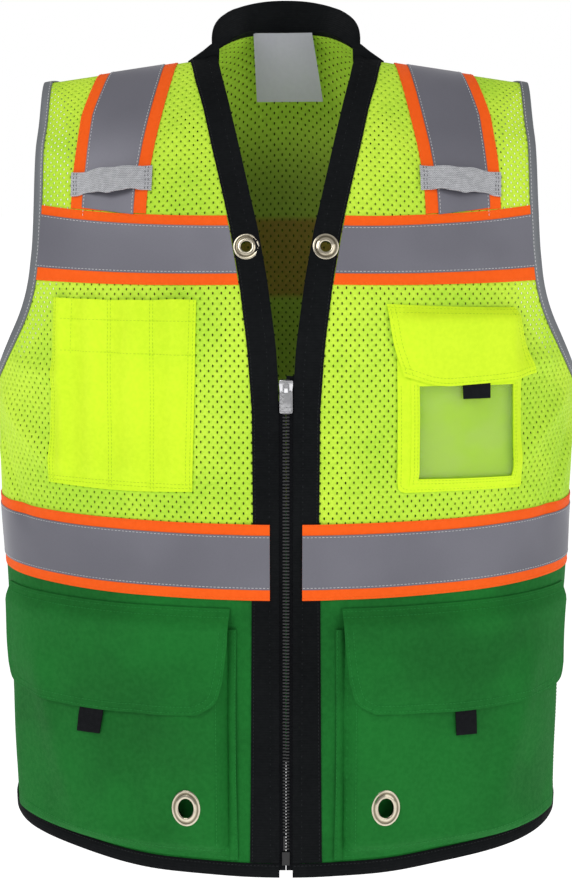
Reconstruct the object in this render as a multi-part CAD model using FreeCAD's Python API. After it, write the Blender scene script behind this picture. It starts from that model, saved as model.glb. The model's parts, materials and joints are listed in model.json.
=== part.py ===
"""High visibility vest, built as separate sewn layers and hardware.

Lengths are millimetres.  +Z is up, the front of the vest faces -Y and +X is
the wearer's left.  The origin sits midway between the two side-neck points of
the shoulder seams.  Every fabric piece is laid out flat in pattern
millimetres (p round the body, q up the body) and carried on to the worn shape
at its own height above the body fabric, so no two layers share space.
"""
import FreeCAD, Part
import math
import os
from Part import Geom2d

os.makedirs("parts", exist_ok=True)

V = FreeCAD.Vector
V2 = FreeCAD.Base.Vector2d

# ------------------------------------------------------------------ body form
FRONT_AX, FRONT_AY = 262.0, 148.0      # reference girth ellipse, front half
BACK_AX, BACK_AY = 262.0, 115.0        # reference girth ellipse, back half
FRONT_TURN = -240.0                    # height where the chest starts to lean
BACK_TURN = -190.0                     # height where the back starts to lean
FRONT_EXP = (1.25, 4.0 / 3.0)          # lean profile exponents (up, out)
BACK_EXP = (0.714, 0.714)


def lerp_table(x, xs, ys):
    if x <= xs[0]:
        return ys[0]
    if x >= xs[-1]:
        return ys[-1]
    lo, hi = 0, len(xs) - 1
    while hi - lo > 1:
        mid = (lo + hi) // 2
        if xs[mid] <= x:
            lo = mid
        else:
            hi = mid
    f = (x - xs[lo]) / (xs[hi] - xs[lo])
    return ys[lo] + f * (ys[hi] - ys[lo])


def ease(x):
    x = max(0.0, min(1.0, x))
    return x * x * (3 - 2 * x)


def smooth_stations(x, xs, ys):
    x = max(xs[0], min(xs[-1], x))
    for i in range(len(xs) - 1):
        if x <= xs[i + 1]:
            return ys[i] + (ys[i + 1] - ys[i]) * ease((x - xs[i]) / (xs[i + 1] - xs[i]))
    return ys[-1]


def arc_table(px, py, steps=1200):
    """Angles and running arc length of the curve (px(a), py(a)), a in 0..90."""
    ang, run = [0.0], [0.0]
    x0, y0 = px(0.0), py(0.0)
    for i in range(1, steps + 1):
        a = 0.5 * math.pi * i / steps
        x1, y1 = px(a), py(a)
        run.append(run[-1] + math.hypot(x1 - x0, y1 - y0))
        ang.append(a)
        x0, y0 = x1, y1
    return ang, run


def half_width(z):
    return smooth_stations(z, [-710.0, -290.0], [252.0, 265.0])


class Skin:
    """Worn surface of one half of the garment, addressed in pattern mm."""

    def __init__(self, sign, ax, ay, turn, rise, out, exps):
        self.sign = sign
        self.turn = turn
        self.exps = exps
        self.g_ang, self.g_run = arc_table(lambda a: ax * math.sin(a), lambda a: ay * math.cos(a))
        self.side = self.g_run[-1]
        self.s_ang, self.s_run = arc_table(
            lambda a: rise * math.sin(a) ** exps[0], lambda a: out * max(0.0, math.cos(a)) ** exps[1])
        self.top = turn + self.s_run[-1]

    def angle(self, p):
        s = 1.0 if p >= 0 else -1.0
        a = abs(p)
        if a > self.side:
            return s * (math.pi - lerp_table(2 * self.side - a, self.g_run, self.g_ang))
        return s * lerp_table(a, self.g_run, self.g_ang)

    def depth(self, z):
        if self.sign < 0:
            return 138.0 + 20.0 * (-250.0 - min(z, -250.0)) / 460.0
        return smooth_stations(z, [-710.0, -450.0, -190.0], [125.0, 104.0, 118.0])

    def ridge(self, x):
        z = -0.15 * (abs(x) - 84.0)
        if self.sign > 0 and abs(x) < 84.0:
            z += 30.0 * (1 - (x / 84.0) ** 2) ** 1.5
        return z

    def point(self, p, q):
        t = self.angle(p)
        z = min(q, self.turn)
        x = half_width(z) * math.sin(t)
        d = self.depth(z) * math.cos(t)
        if q > self.turn:
            run = q - self.turn
            total = self.s_run[-1]
            if run > total:
                a = math.pi - lerp_table(2 * total - run, self.s_run, self.s_ang)
            else:
                a = lerp_table(run, self.s_run, self.s_ang)
            c = math.cos(a)
            z = self.turn + (self.ridge(x) - self.turn) * math.sin(a) ** self.exps[0]
            d *= math.copysign(abs(c) ** self.exps[1], c)
        return V(x, self.sign * d, z)

    def normal(self, p, q, h=1.5):
        a = self.point(p + h, q) - self.point(p - h, q)
        b = self.point(p, q + h) - self.point(p, q - h)
        n = a.cross(b)
        if self.sign > 0:
            n = n * -1.0
        n.normalize()
        return n

    def at(self, p, q, off):
        return self.point(p, q) + self.normal(p, q) * off

    def surface(self, off, box, h):
        """Uniform cubic surface whose (u, v) are pattern (p, q) inside box."""
        p0, p1, q0, q1 = box
        u0 = p0 - 3 * h
        v0 = q0 - 3 * h
        nu = int(math.ceil((p1 + 3 * h - u0) / h)) + 1
        nv = int(math.ceil((q1 + 3 * h - v0) / h)) + 1
        grid = []
        for i in range(-1, nu + 1):
            row = []
            for j in range(-1, nv + 1):
                p, q = u0 + i * h, v0 + j * h
                row.append(self.at(p, q, off(p, q) if callable(off) else off))
            grid.append(row)
        poles = []
        for i in range(1, nu + 1):
            row = []
            for j in range(1, nv + 1):
                c = grid[i][j]
                d = grid[i - 1][j] + grid[i + 1][j] + grid[i][j - 1] + grid[i][j + 1] - c * 4
                row.append(c - d * (1.0 / 6.0))
            poles.append(row)
        ku = [u0 + i * h for i in range(1, nu - 1)]
        kv = [v0 + j * h for j in range(1, nv - 1)]
        s = Part.BSplineSurface()
        s.buildFromPolesMultsKnots(
            poles, [4] + [1] * (len(ku) - 2) + [4], [4] + [1] * (len(kv) - 2) + [4],
            ku, kv, False, False, 3, 3)
        return s


FRONT = Skin(-1, FRONT_AX, FRONT_AY, FRONT_TURN, 240.0, 138.0, FRONT_EXP)
BACK = Skin(1, BACK_AX, BACK_AY, BACK_TURN, 195.0, 118.0, BACK_EXP)
SIDE_F, SIDE_B = FRONT.side, BACK.side


# ------------------------------------------------------------- fabric builders
def flip(curves, side):
    """Mirror an outline written for +p to the other side when side is -1."""
    if side > 0:
        return curves
    return [[(-p, q) for p, q in c] for c in curves]


def close_loop(*chains):
    """Join polyline chains end to end; a 2-point chain is a straight edge."""
    return [list(c) for c in chains]


def loop_box(curves):
    ps = [p for c in curves for p, q in c]
    qs = [q for c in curves for p, q in c]
    return min(ps), max(ps), min(qs), max(qs)


def wire_on(surface, curves):
    edges = []
    for c in curves:
        if len(c) == 2:
            g = Geom2d.Line2dSegment(V2(*c[0]), V2(*c[1]))
        else:
            g = Geom2d.BSplineCurve2d()
            g.interpolate([V2(*x) for x in c])
        edges.append(g.toShape(surface))
    return Part.Wire(edges)


def ring_loop(p, q, rp, rq=None, n=8):
    rq = rq or rp
    pts = [(p + rp * math.cos(2 * math.pi * k / n), q + rq * math.sin(2 * math.pi * k / n)) for k in range(n)]
    half = n // 2
    return [pts[: half + 1], pts[half:] + [pts[0]]]


def close_solid(faces):
    c = Part.Compound(faces)
    c.sewShape()
    shell = c.Shells[0] if c.Shells else c
    solid = Part.Solid(shell)
    if solid.Volume < 0:
        solid.reverse()
    return solid


def cloth(skin, curves, lo, hi, holes=(), h=14.0):
    """Solid sheet between heights lo and hi above the skin inside an outline."""
    box = loop_box(curves)
    faces = []
    wires = []
    for off in (lo, hi):
        s = skin.surface(off, box, h)
        ws = [wire_on(s, c) for c in [curves] + list(holes)]
        face = Part.Face(s, ws[0])
        if len(ws) > 1:
            face.cutHoles(ws[1:])
        face.validate()
        faces.append(face)
        wires.append(ws)
    for a, b in zip(wires[0], wires[1]):
        for ea, eb in zip(a.Edges, b.Edges):
            faces.append(Part.makeRuledSurface(ea, eb))
    return close_solid(faces)


def curve_through(points):
    if len(points) == 2:
        return Part.LineSegment(points[0], points[1]).toShape()
    c = Part.BSplineCurve()
    c.interpolate(points)
    return c.toShape()


def quad(a, b, c, d):
    return Part.makeRuledSurface(
        Part.LineSegment(a, b).toShape(), Part.LineSegment(d, c).toShape())


def folded_binding(skin, edge, width, outer=(1.3, 2.5), inner=(-1.5, -0.3), lip=1.0, slot=0.7, panel=None):
    """U-folded binding tape along a raw edge.

    edge is a list of (p, q, inward p, inward q) stations along the raw edge.
    panel is the outline of the cloth it binds, so that it lies on that very sheet.
    """
    base = skin.surface(0.0, loop_box(panel), 14.0) if panel else None

    def at(p, q, off):
        if base is None:
            return skin.at(p, q, off)
        n = base.normal(p, q)
        if n.dot(skin.normal(p, q)) < 0:
            n = n * -1.0
        return base.value(p, q) + n * off

    section = [(width, outer[1]), (-lip, outer[1]), (-lip, inner[0]), (width, inner[0]),
               (width, inner[1]), (slot, inner[1]), (slot, outer[0]), (width, outer[0])]
    runs = []
    for w, o in section:
        runs.append([at(p + w * ip, q + w * iq, o) for p, q, ip, iq in edge])
    faces = []
    for i in range(8):
        faces.append(Part.makeRuledSurface(curve_through(runs[i]), curve_through(runs[(i + 1) % 8])))
    for k in (0, -1):
        r = [run[k] for run in runs]
        faces.append(quad(r[0], r[1], r[6], r[7]))
        faces.append(quad(r[1], r[2], r[5], r[6]))
        faces.append(quad(r[2], r[3], r[4], r[5]))
    return close_solid(faces)


def edge_stations(pts, side_hint):
    """Stations with unit inward directions; side_hint picks the fabric side."""
    out = []
    for i, (p, q) in enumerate(pts):
        a = pts[max(0, i - 1)]
        b = pts[min(len(pts) - 1, i + 1)]
        tx, ty = b[0] - a[0], b[1] - a[1]
        n = math.hypot(tx, ty)
        nx, ny = -ty / n, tx / n
        if side_hint < 0:
            nx, ny = -nx, -ny
        out.append((p, q, nx, ny))
    return out


def finer(pts, n=4):
    """Smooth line through pts with n steps to each span."""
    out = []
    for i in range(len(pts) - 1):
        a, b, c = pts[max(0, i - 1)], pts[i], pts[i + 1]
        d = pts[min(len(pts) - 1, i + 2)]
        for k in range(n):
            t = k / float(n)
            out.append(tuple(
                b[j] + 0.5 * t * ((c[j] - a[j]) + t * ((2 * a[j] - 5 * b[j] + 4 * c[j] - d[j])
                                  + t * (3 * b[j] - a[j] - 3 * c[j] + d[j]))) for j in (0, 1)))
    return out + [pts[-1]]


def armhole_stations(line):
    """Stations down an armhole; both ends are cut square to their seams."""
    out = edge_stations(finer(line, 7), -1)
    out[0] = out[0][:2] + (-1.0, 0.0)
    out[-1] = out[-1][:2] + (0.0, -1.0)
    return out


def set_in(stations, gap=2.2):
    """Cloth edge lying gap inside the folded edge of its binding."""
    return [(p + gap * a, q + gap * b) for p, q, a, b in stations]


# ---------------------------------------------------------- pattern landmarks
NECK_OUT = [(86, 49), (80, 10), (72, -25), (65, -62), (53, -117), (47.5, -143), (40, -187), (33, -242),
            (29, -299), (28.5, -395), (30, -467), (32, -632), (33, -712)]
NECK_IN = [(62, 49), (56, 10), (49, -25), (41.5, -62), (30, -117), (24, -143), (16, -187), (8.5, -242),
           (6.5, -275), (6.2, -330), (6.0, -520), (6.0, -712)]
ARMHOLE = [(229, 49), (231, -13), (233, -60), (234, -104), (235, -146), (237, -166), (240.5, -186),
           (247, -206), (257, -226), (272, -247), (293, -268), (311, -279), (SIDE_F, -283)]


def along(table, q):
    """p of a landmark line at height q (table runs downwards)."""
    pts = sorted((b, a) for a, b in table)
    return lerp_table(q, [x for x, _ in pts], [y for _, y in pts])


def line_part(table, q_from, q_to, shift=0.0, n=9):
    return [(along(table, q_from + (q_to - q_from) * i / (n - 1.0)) + shift,
             q_from + (q_to - q_from) * i / (n - 1.0)) for i in range(n)]


def hem_f(p):
    return -710.0 + 10.0 * (p / 225.0) ** 2


def hem_b(p):
    return hem_f(SIDE_F) - 8.0 * (1 - (p / SIDE_B) ** 2)


def row(fn, p0, p1, n=9):
    return [(p0 + (p1 - p0) * i / (n - 1.0), fn(p0 + (p1 - p0) * i / (n - 1.0))) for i in range(n)]


def chest_top(p):
    return -132.5 + 17.5 * (p / 200.0) ** 2


def chest_silver_top(p):
    return -141.5 + 17.0 * (p / 200.0) ** 2


def chest_silver_low(p):
    return -182.0 + 7.0 * (p / 200.0) ** 2


def chest_low(p):
    return -191.5 + 4.5 * (p / 200.0) ** 2


def waist(q, rise):
    return lambda p: q + rise * (p / 250.0) ** 2


W_TOP, W_ST, W_SB, W_LOW = waist(-396.5, 3.0), waist(-406.0, 3.2), waist(-453.5, 3.6), waist(-463.0, 4.0)

TAPE_IN = [(97, 49), (101, 20), (108, -20), (114, -55), (118, -85), (120.5, -113), (121, -130)]
TAPE_OUT = [(171, 49), (177, 20), (185.5, -15), (189, -55), (191, -85), (193, -113), (194, -130)]

ARM_OUTER, ARM_INNER = (1.55, 2.6), (-1.6, -0.55)   # leg levels of the armhole bindings

NECK_EYE = (33.5, -159.5)
LOW_EYE = (88.0, -647.0)

parts = {}
SIDES = (("right", -1), ("left", 1))
SEAM = 0.5
TOP_F = FRONT.top - SEAM
TOP_B = BACK.top - SEAM


ARM_F = [(ARMHOLE[0][0], TOP_F)] + ARMHOLE[1:-1] + [(SIDE_F - SEAM, -283.5)]


def front_mesh_loop():
    inner = line_part(NECK_IN, -430, TOP_F, 3.0, 21)
    arm = set_in(armhole_stations(ARM_F))
    return close_loop(
        inner,
        [inner[-1], arm[0]],
        arm,
        [arm[-1], (SIDE_F - SEAM, -430.0)],
        [(SIDE_F - SEAM, -430.0), inner[0]],
    )


def eye_hole(c, r):
    return ring_loop(c[0], c[1], r)


def placket_loop():
    inner = line_part(NECK_IN, -711.0, TOP_F, 0.0, 27)
    inner[0] = (6.0, hem_f(6.0) + 13.0)
    outer = line_part(NECK_OUT, TOP_F, -711.0, 0.0, 27)
    outer[-1] = (33.0, hem_f(33.0) + 13.0)
    return close_loop(inner, [inner[-1], outer[0]], outer, [outer[-1], inner[0]])


def band_loop(top, low, p_in, p_out):
    up = row(top, p_out, p_in, 13)
    dn = row(low, p_in, p_out, 13)
    return close_loop(up, [up[-1], dn[0]], dn, [dn[-1], up[0]])


def chest_loop(top, low):
    a = along(NECK_OUT, top(48)) + 0.6
    b = along(NECK_OUT, low(40)) + 0.6
    c = along(ARMHOLE, low(235)) - 12.4
    d = along(ARMHOLE, top(235)) - 12.4
    up = row(top, d, a, 13)
    dn = row(low, b, c, 13)
    return close_loop(up, [up[-1], dn[0]], dn, [dn[-1], up[0]])


def tape_loop(inset):
    inn = line_part(TAPE_IN, chest_top(120) + 0.8, TOP_F, inset, 11)
    out = line_part(TAPE_OUT, TOP_F, chest_top(193) + 0.8, -inset, 11)
    return close_loop(inn, [inn[-1], out[0]], out, [out[-1], inn[0]])


def waist_lift(base):
    """The waist band climbs over the thicker zip placket."""
    return lambda p, q: base + 1.35 * (1 - ease((abs(p) - 31.0) / 16.0))


# ------------------------------------------------------------- pocket heights
def bag(p0, p1, q0, depth, edge, top_q=None, top_part=1.0):
    """Height of a bellied pocket ply above its backing fabric (for +p)."""
    def height(p, q):
        a = abs(p)
        e = ease((a - p0) / edge) * ease((p1 - a) / edge) * ease((q - q0) / edge)
        f = 1.0
        if top_q is not None:
            f = top_part + (1 - top_part) * ease((top_q - q) / 60.0)
        return 1.35 + depth * e * f
    return height


CARGO_IN, CARGO_OUT, CARGO_TOP = 51.5, 298.0, -489.0
CARGO_LOW = -694.0
cargo_full = bag(CARGO_IN, CARGO_OUT, CARGO_LOW, 12.0, 18.0, CARGO_TOP, 0.55)


def cargo_h(p, q):
    """The pocket bellies in front and lies flatter round the wearer's side."""
    return 1.35 + (cargo_full(p, q) - 1.35) * (1 - 0.62 * ease((abs(p) - 185.0) / 100.0))


FLAP_TOP = -470.5


def cargo_low(p):
    return hem_f(p) + 14.0


def cargo_body_loop():
    up = [(CARGO_OUT - 3, CARGO_TOP), (CARGO_IN, CARGO_TOP)]
    low = row(cargo_low, CARGO_IN, CARGO_OUT, 9)
    return close_loop(up, [up[-1], low[0]], low, [low[-1], up[0]])


def cargo_flap_height(p, q):
    a = abs(p)
    over = cargo_h(min(max(a, CARGO_IN + 18), CARGO_OUT - 18), min(q, CARGO_TOP)) + 2.6
    return 1.35 + (over - 1.35) * ease((FLAP_TOP + 1.0 - q) / 18.0)


def cargo_flap_loop():
    top = [(292.0, FLAP_TOP), (49.0, FLAP_TOP)]
    inner = [(49.0, FLAP_TOP), (51.0, -502.0), (54.5, -533.0)]
    corner = [(54.5, -533.0), (61.0, -552.0), (77.0, -562.5)]
    low = [(77.0, -562.5), (170.0, -565.5), (266.0, -563.0)]
    corner2 = [(266.0, -563.0), (284.0, -558.5), (290.5, -546.0)]
    outer = [(290.5, -546.0), (292.0, -510.0), (292.0, FLAP_TOP)]
    return close_loop(top, inner, corner, low, corner2, outer)


# pen pocket (right front): three pen channels and one wide pocket
PEN_SEAMS = [76.0, 115.0, 154.0, 190.0, 214.0]


def pen_h(p, q):
    a = abs(p)
    for i in range(4):
        lo, hi = PEN_SEAMS[i], PEN_SEAMS[i + 1]
        if a <= hi or i == 3:
            w = max(0.0, min(1.0, (a - lo) / (hi - lo)))
            belly = math.sin(math.pi * w) ** 2
            return 1.35 + 7.0 * belly * ease((q + 369.0) / 22.0)
    return 1.35


def pen_loop():
    return close_loop([(210.0, -202.0), (76.0, -203.5)], [(76.0, -203.5), (80.5, -369.0)],
                      [(80.5, -369.0), (219.0, -368.5)], [(219.0, -368.5), (210.0, -202.0)])


ID_IN, ID_OUT = 95.5, 216.0
id_h = bag(90.0, 219.0, -372.0, 8.0, 22.0)


def id_body_loop():
    return close_loop([(208.0, -218.0), (94.5, -218.0)], [(94.5, -218.0), (96.0, -365.5)],
                      [(96.0, -365.5), (99.0, -369.5), (103.0, -370.5)],
                      [(103.0, -370.5), (217.0, -373.0)], [(217.0, -373.0), (208.0, -218.0)])


def id_window_loop(grow):
    g = grow
    return close_loop([(199.0 + g, -279.5 + g), (112.0 - g, -277.5 + g)],
                      [(112.0 - g, -277.5 + g), (113.0 - g, -358.5 - g)],
                      [(113.0 - g, -358.5 - g), (204.0 + g, -361.5 - g)],
                      [(204.0 + g, -361.5 - g), (199.0 + g, -279.5 + g)])


def id_flap_height(p, q):
    return 1.35 + (id_h(p, min(q, -222.0)) + 2.9 - 1.35) * ease((-206.0 - q) / 11.0)


def id_flap_loop():
    return close_loop([(206.0, -211.0), (85.5, -207.0)],
                      [(85.5, -207.0), (91.0, -240.0), (99.5, -269.0)],
                      [(99.5, -269.0), (129.0, -277.5), (158.0, -277.5), (197.0, -275.5), (224.0, -271.0)],
                      [(224.0, -271.0), (215.0, -242.0), (206.0, -211.0)])


def tab_loop(p0, p1, q0, q1, lean=0.0):
    return close_loop([(p1, q0), (p0, q0)], [(p0, q0), (p0 + lean, q1)],
                      [(p0 + lean, q1), (p1 + lean, q1)], [(p1 + lean, q1), (p1, q0)])


def mic_h(p, q):
    w = max(0.0, min(1.0, (abs(p) - 122.0) / 60.0))
    return 2.9 + 7.4 * ease(min(w, 1 - w) * 2.6)


# ------------------------------------------------------------------- fronts
def eyelet(skin, p, q, hole, rim, back, front):
    """Set eyelet: rolled front rim, barrel and spread back flange."""
    c = skin.point(p, q)
    n = skin.normal(p, q)
    wall = 0.7
    prof = [(hole, back - 0.9), (hole + wall + 1.8, back - 0.9), (rim * 0.86, back - 0.35), (rim * 0.86, back),
            (hole + wall, back), (hole + wall, front), (rim, front), (rim - 0.35, front + 0.75),
            (rim - 1.6, front + 1.2), (hole + 1.6, front + 1.5), (hole, front + 0.9)]
    pts = [V(r, 0, z) for r, z in prof]
    wire = Part.makePolygon(pts + [pts[0]])
    solid = Part.Face(wire).revolve(V(0, 0, 0), V(0, 0, 1), 360)
    solid = Part.Solid(Part.Shell(solid.Faces)) if solid.ShapeType != "Solid" else solid
    solid.Placement = FreeCAD.Placement(c, FreeCAD.Rotation(V(0, 0, 1), n))
    return solid


for name, side in SIDES:
    s = FRONT
    eye = ring_loop(side * NECK_EYE[0], NECK_EYE[1], 5.6)
    parts[name + "_front_mesh"] = cloth(s, flip(front_mesh_loop(), side), 0.0, 1.0, [eye])
    lower_in = line_part(NECK_IN, -698.0, -431.0, 3.0, 7)
    lower_hem = row(lambda p: hem_f(p) + 2.0, SIDE_F - SEAM, lower_in[0][0], 11)
    lower = close_loop([(lower_in[-1][0], -431.0), (SIDE_F - SEAM, -431.0)],
                       [(SIDE_F - SEAM, -431.0), lower_hem[0]], lower_hem,
                       [lower_hem[-1], lower_in[-1]])
    parts[name + "_front_lower"] = cloth(s, flip(lower, side), 0.0, 1.0)
    parts[name + "_placket"] = cloth(s, flip(placket_loop(), side), 1.35, 2.3, [eye], h=12.0)
    tape_end = -290.0 if side < 0 else -268.0
    tape_low = -654.0 if side < 0 else -687.0
    tape = cloth(s, flip(tab_loop(2.6, 21.0, tape_end, tape_low), side), -1.6, -0.9)
    chain = cloth(s, flip(tab_loop(0.95, 2.9, tape_end - 2.0, tape_low + 1.0), side), -2.5, 0.0)
    parts[name + "_zip_half"] = tape.fuse(chain)
    arm = armhole_stations(ARM_F)
    parts[name + "_front_armhole_binding"] = folded_binding(
        s, [(side * p, q, side * a, b) for p, q, a, b in arm], 9.2, ARM_OUTER, ARM_INNER,
        panel=flip(front_mesh_loop(), side))
    hem = edge_stations(row(hem_f, 6.0, SIDE_F - SEAM, 15), 1)
    parts[name + "_front_hem_binding"] = folded_binding(
        s, [(side * p, q, side * a, b) for p, q, a, b in hem], 12.0)
    parts[name + "_chest_orange"] = cloth(s, flip(chest_loop(chest_top, chest_low), side), 1.35, 1.8)
    parts[name + "_chest_silver"] = cloth(s, flip(chest_loop(chest_silver_top, chest_silver_low), side), 2.1, 2.5)
    parts[name + "_waist_orange"] = cloth(
        s, flip(band_loop(W_TOP, W_LOW, 14.0, SIDE_F - SEAM), side), waist_lift(1.35), waist_lift(1.8), h=8.0)
    parts[name + "_waist_silver"] = cloth(
        s, flip(band_loop(W_ST, W_SB, 14.0, SIDE_F - SEAM), side), waist_lift(2.1), waist_lift(2.5), h=8.0)
    parts[name + "_shoulder_orange"] = cloth(s, flip(tape_loop(0.0), side), 1.35, 1.8)
    parts[name + "_shoulder_silver"] = cloth(s, flip(tape_loop(11.5), side), 2.1, 2.5)
    parts[name + "_mic_tab"] = cloth(
        s, flip(tab_loop(115.5, 191.0, -80.5, -104.5, 1.0), side),
        mic_h, lambda p, q: mic_h(p, q) + 1.3, h=7.0)
    parts[name + "_neck_eyelet"] = eyelet(s, side * NECK_EYE[0], NECK_EYE[1], 4.5, 10.3, -0.3, 2.45)
    ply = cargo_h(LOW_EYE[0], LOW_EYE[1])
    parts[name + "_pocket_eyelet"] = eyelet(s, side * LOW_EYE[0], LOW_EYE[1], 7.4, 14.2, ply - 0.55, ply + 1.45)
    holes = [ring_loop(side * LOW_EYE[0], LOW_EYE[1], 8.6)]
    parts[name + "_cargo_pocket"] = cloth(
        s, flip(cargo_body_loop(), side), cargo_h, lambda p, q: cargo_h(p, q) + 0.9, holes, h=7.0)
    parts[name + "_cargo_flap"] = cloth(
        s, flip(cargo_flap_loop(), side), cargo_flap_height,
        lambda p, q: cargo_flap_height(p, q) + 1.0, h=6.0)
    t0, t1, lean = (161.0, 184.0, 7.0) if side < 0 else (150.0, 169.5, 2.5)
    parts[name + "_cargo_flap_tab"] = cloth(
        s, flip(tab_loop(t0, t1, -554.0, -588.0, lean), side),
        lambda p, q: cargo_h(p, q) + 1.3, lambda p, q: cargo_h(p, q) + 2.2, h=6.0)

parts["pen_pocket"] = cloth(FRONT, flip(pen_loop(), -1), pen_h, lambda p, q: pen_h(p, q) + 0.9, h=5.0)
parts["id_pocket_frame"] = cloth(FRONT, id_body_loop(), id_h, lambda p, q: id_h(p, q) + 0.9,
                                 [id_window_loop(0.0)], h=6.0)
parts["id_window"] = cloth(FRONT, id_window_loop(4.0), lambda p, q: id_h(p, q) - 0.65,
                           lambda p, q: id_h(p, q) - 0.3, h=6.0)
parts["id_flap"] = cloth(FRONT, id_flap_loop(), id_flap_height, lambda p, q: id_flap_height(p, q) + 0.9, h=5.0)
parts["id_flap_tab"] = cloth(FRONT, tab_loop(150.0, 175.0, -266.0, -290.0, 1.0),
                             lambda p, q: id_h(p, q) + 1.4, lambda p, q: id_h(p, q) + 2.4, h=6.0)


# --------------------------------------------------------------------- back
def back_p(x):
    return lerp_table(math.asin(max(-1.0, min(1.0, x / 265.0))), BACK.g_ang, BACK.g_run)


def front_x(p):
    return 265.0 * math.sin(FRONT.angle(p))


SHOULDER_X = front_x(229.0)
ARM_B = [(back_p(SHOULDER_X), TOP_B), (back_p(206.0), -8.0), (back_p(204.0), -60.0), (back_p(205.0), -110.0),
         (back_p(209.0), -160.0), (back_p(216.0), -200.0), (back_p(226.0), -235.0), (back_p(240.0), -262.0),
         (back_p(254.0), -277.0), (SIDE_B, -283.0)]
ARM_E = ARM_B[:-1] + [(SIDE_B - SEAM, -283.5)]
NECK_B = 62.0
NECK_ROW = [(0.0, 10.5), (14.0, 16.5), (27.0, 28.0), (36.0, 46.0), (44.0, 63.0), (54.0, TOP_B)]


def neck_b(p):
    """Height of the back neck edge: a shallow scoop that meets the shoulders."""
    a = abs(p)
    if a >= 54.0:
        return TOP_B
    line = finer(NECK_ROW, 8)
    return lerp_table(a, [x for x, _ in line], [y for _, y in line])


def back_loop(q_low):
    neck = [(NECK_B * math.sin(math.pi / 2 * k / 10.0), neck_b(NECK_B * math.sin(math.pi / 2 * k / 10.0)))
            for k in range(-10, 11)]
    arm = set_in(armhole_stations(ARM_E))
    left = [(-p, q) for p, q in reversed(arm)]
    return close_loop(
        neck, [neck[-1], arm[0]], arm, [arm[-1], (SIDE_B - SEAM, q_low)],
        [(SIDE_B - SEAM, q_low), (-SIDE_B + SEAM, q_low)],
        [(-SIDE_B + SEAM, q_low), left[0]], left, [left[-1], neck[0]])


parts["back_mesh"] = cloth(BACK, back_loop(-430.0), 0.0, 1.0)
hem_row = row(lambda p: hem_b(p) + 2.0, SIDE_B - SEAM, -SIDE_B + SEAM, 15)
parts["back_lower"] = cloth(BACK, close_loop(
    [(-SIDE_B + SEAM, -431.0), (SIDE_B - SEAM, -431.0)], [(SIDE_B - SEAM, -431.0), hem_row[0]],
    hem_row, [hem_row[-1], (-SIDE_B + SEAM, -431.0)]), 0.0, 1.0)
parts["back_hem_binding"] = folded_binding(
    BACK, edge_stations(row(hem_b, -SIDE_B + SEAM, SIDE_B - SEAM, 25), 1), 12.0)
for name, side in SIDES:
    arm = armhole_stations(ARM_E)
    parts[name + "_back_armhole_binding"] = folded_binding(
        BACK, [(side * p, q, side * a, b) for p, q, a, b in arm], 9.2, ARM_OUTER, ARM_INNER)
    x_in, x_out = front_x(97.0), front_x(171.0)
    tb_in = [(back_p(x_in), TOP_B), (back_p(x_in + 4), -30.0), (back_p(x_in + 6), -90.0), (back_p(x_in + 6), -148.0)]
    tb_out = [(back_p(x_out), TOP_B), (back_p(x_out + 4), -30.0), (back_p(x_out + 6), -90.0), (back_p(x_out + 6), -148.0)]
    for layer, inset, lo, hi in (("orange", 0.0, 1.35, 1.8), ("silver", 11.5, 2.1, 2.5)):
        a = [(p + inset, q) for p, q in reversed(tb_in)]
        b = [(p - inset, q) for p, q in tb_out]
        parts[name + "_back_shoulder_" + layer] = cloth(
            BACK, flip(close_loop(a, [a[-1], b[0]], b, [b[-1], a[0]]), side), lo, hi)


def back_chest_loop(q_top, q_low):
    a = along(ARM_B, q_top) - 12.4
    b = along(ARM_B, q_low) - 12.4
    return close_loop([(a, q_top), (-a, q_top)], [(-a, q_top), (-b, q_low)],
                      [(-b, q_low), (b, q_low)], [(b, q_low), (a, q_top)])


def back_waist_loop(q_top, q_low):
    e = SIDE_B - SEAM
    return close_loop([(e, q_top), (-e, q_top)], [(-e, q_top), (-e, q_low)],
                      [(-e, q_low), (e, q_low)], [(e, q_low), (e, q_top)])


parts["back_chest_orange"] = cloth(BACK, back_chest_loop(-149.0, -218.0), 1.35, 1.8)
parts["back_chest_silver"] = cloth(BACK, back_chest_loop(-159.5, -207.5), 2.1, 2.5)
parts["back_waist_orange"] = cloth(BACK, back_waist_loop(W_TOP(SIDE_F), W_LOW(SIDE_F)), 1.3, 1.85, h=9.0)
parts["back_waist_silver"] = cloth(BACK, back_waist_loop(W_ST(SIDE_F), W_SB(SIDE_F)), 2.1, 2.75, h=9.0)


def collar():
    """Stand collar: rises from the shoulder-neck points round the back neck."""
    n = 24
    foot, top = [], []
    for k in range(n + 1):
        a = -math.pi / 2 + math.pi * k / n
        p = NECK_B * math.sin(a)
        c = max(0.0, math.cos(a))
        foot.append(BACK.at(p, neck_b(p), 2.4) + V(0, 0.5 * (1 - c), 0.5))
        top.append(V(67.0 * math.sin(a), 61.0 * c ** 0.9 + 0.6, 17.0 + 41.0 * c ** 0.7))
    runs = [[], [], [], []]
    for k in range(n + 1):
        along_path = foot[min(n, k + 1)] - foot[max(0, k - 1)]
        face = along_path.cross(top[k] - foot[k])
        face.normalize()
        for run, base, half in ((0, foot, 0.9), (1, top, 0.9), (2, top, -0.9), (3, foot, -0.9)):
            point = base[k] + face * half
            runs[run].append(V(point.x, max(point.y, 0.3), point.z))
    faces = [Part.makeRuledSurface(curve_through(runs[i]), curve_through(runs[(i + 1) % 4])) for i in range(4)]
    for k in (0, -1):
        faces.append(quad(*[r[k] for r in runs]))
    return close_solid(faces)


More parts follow.
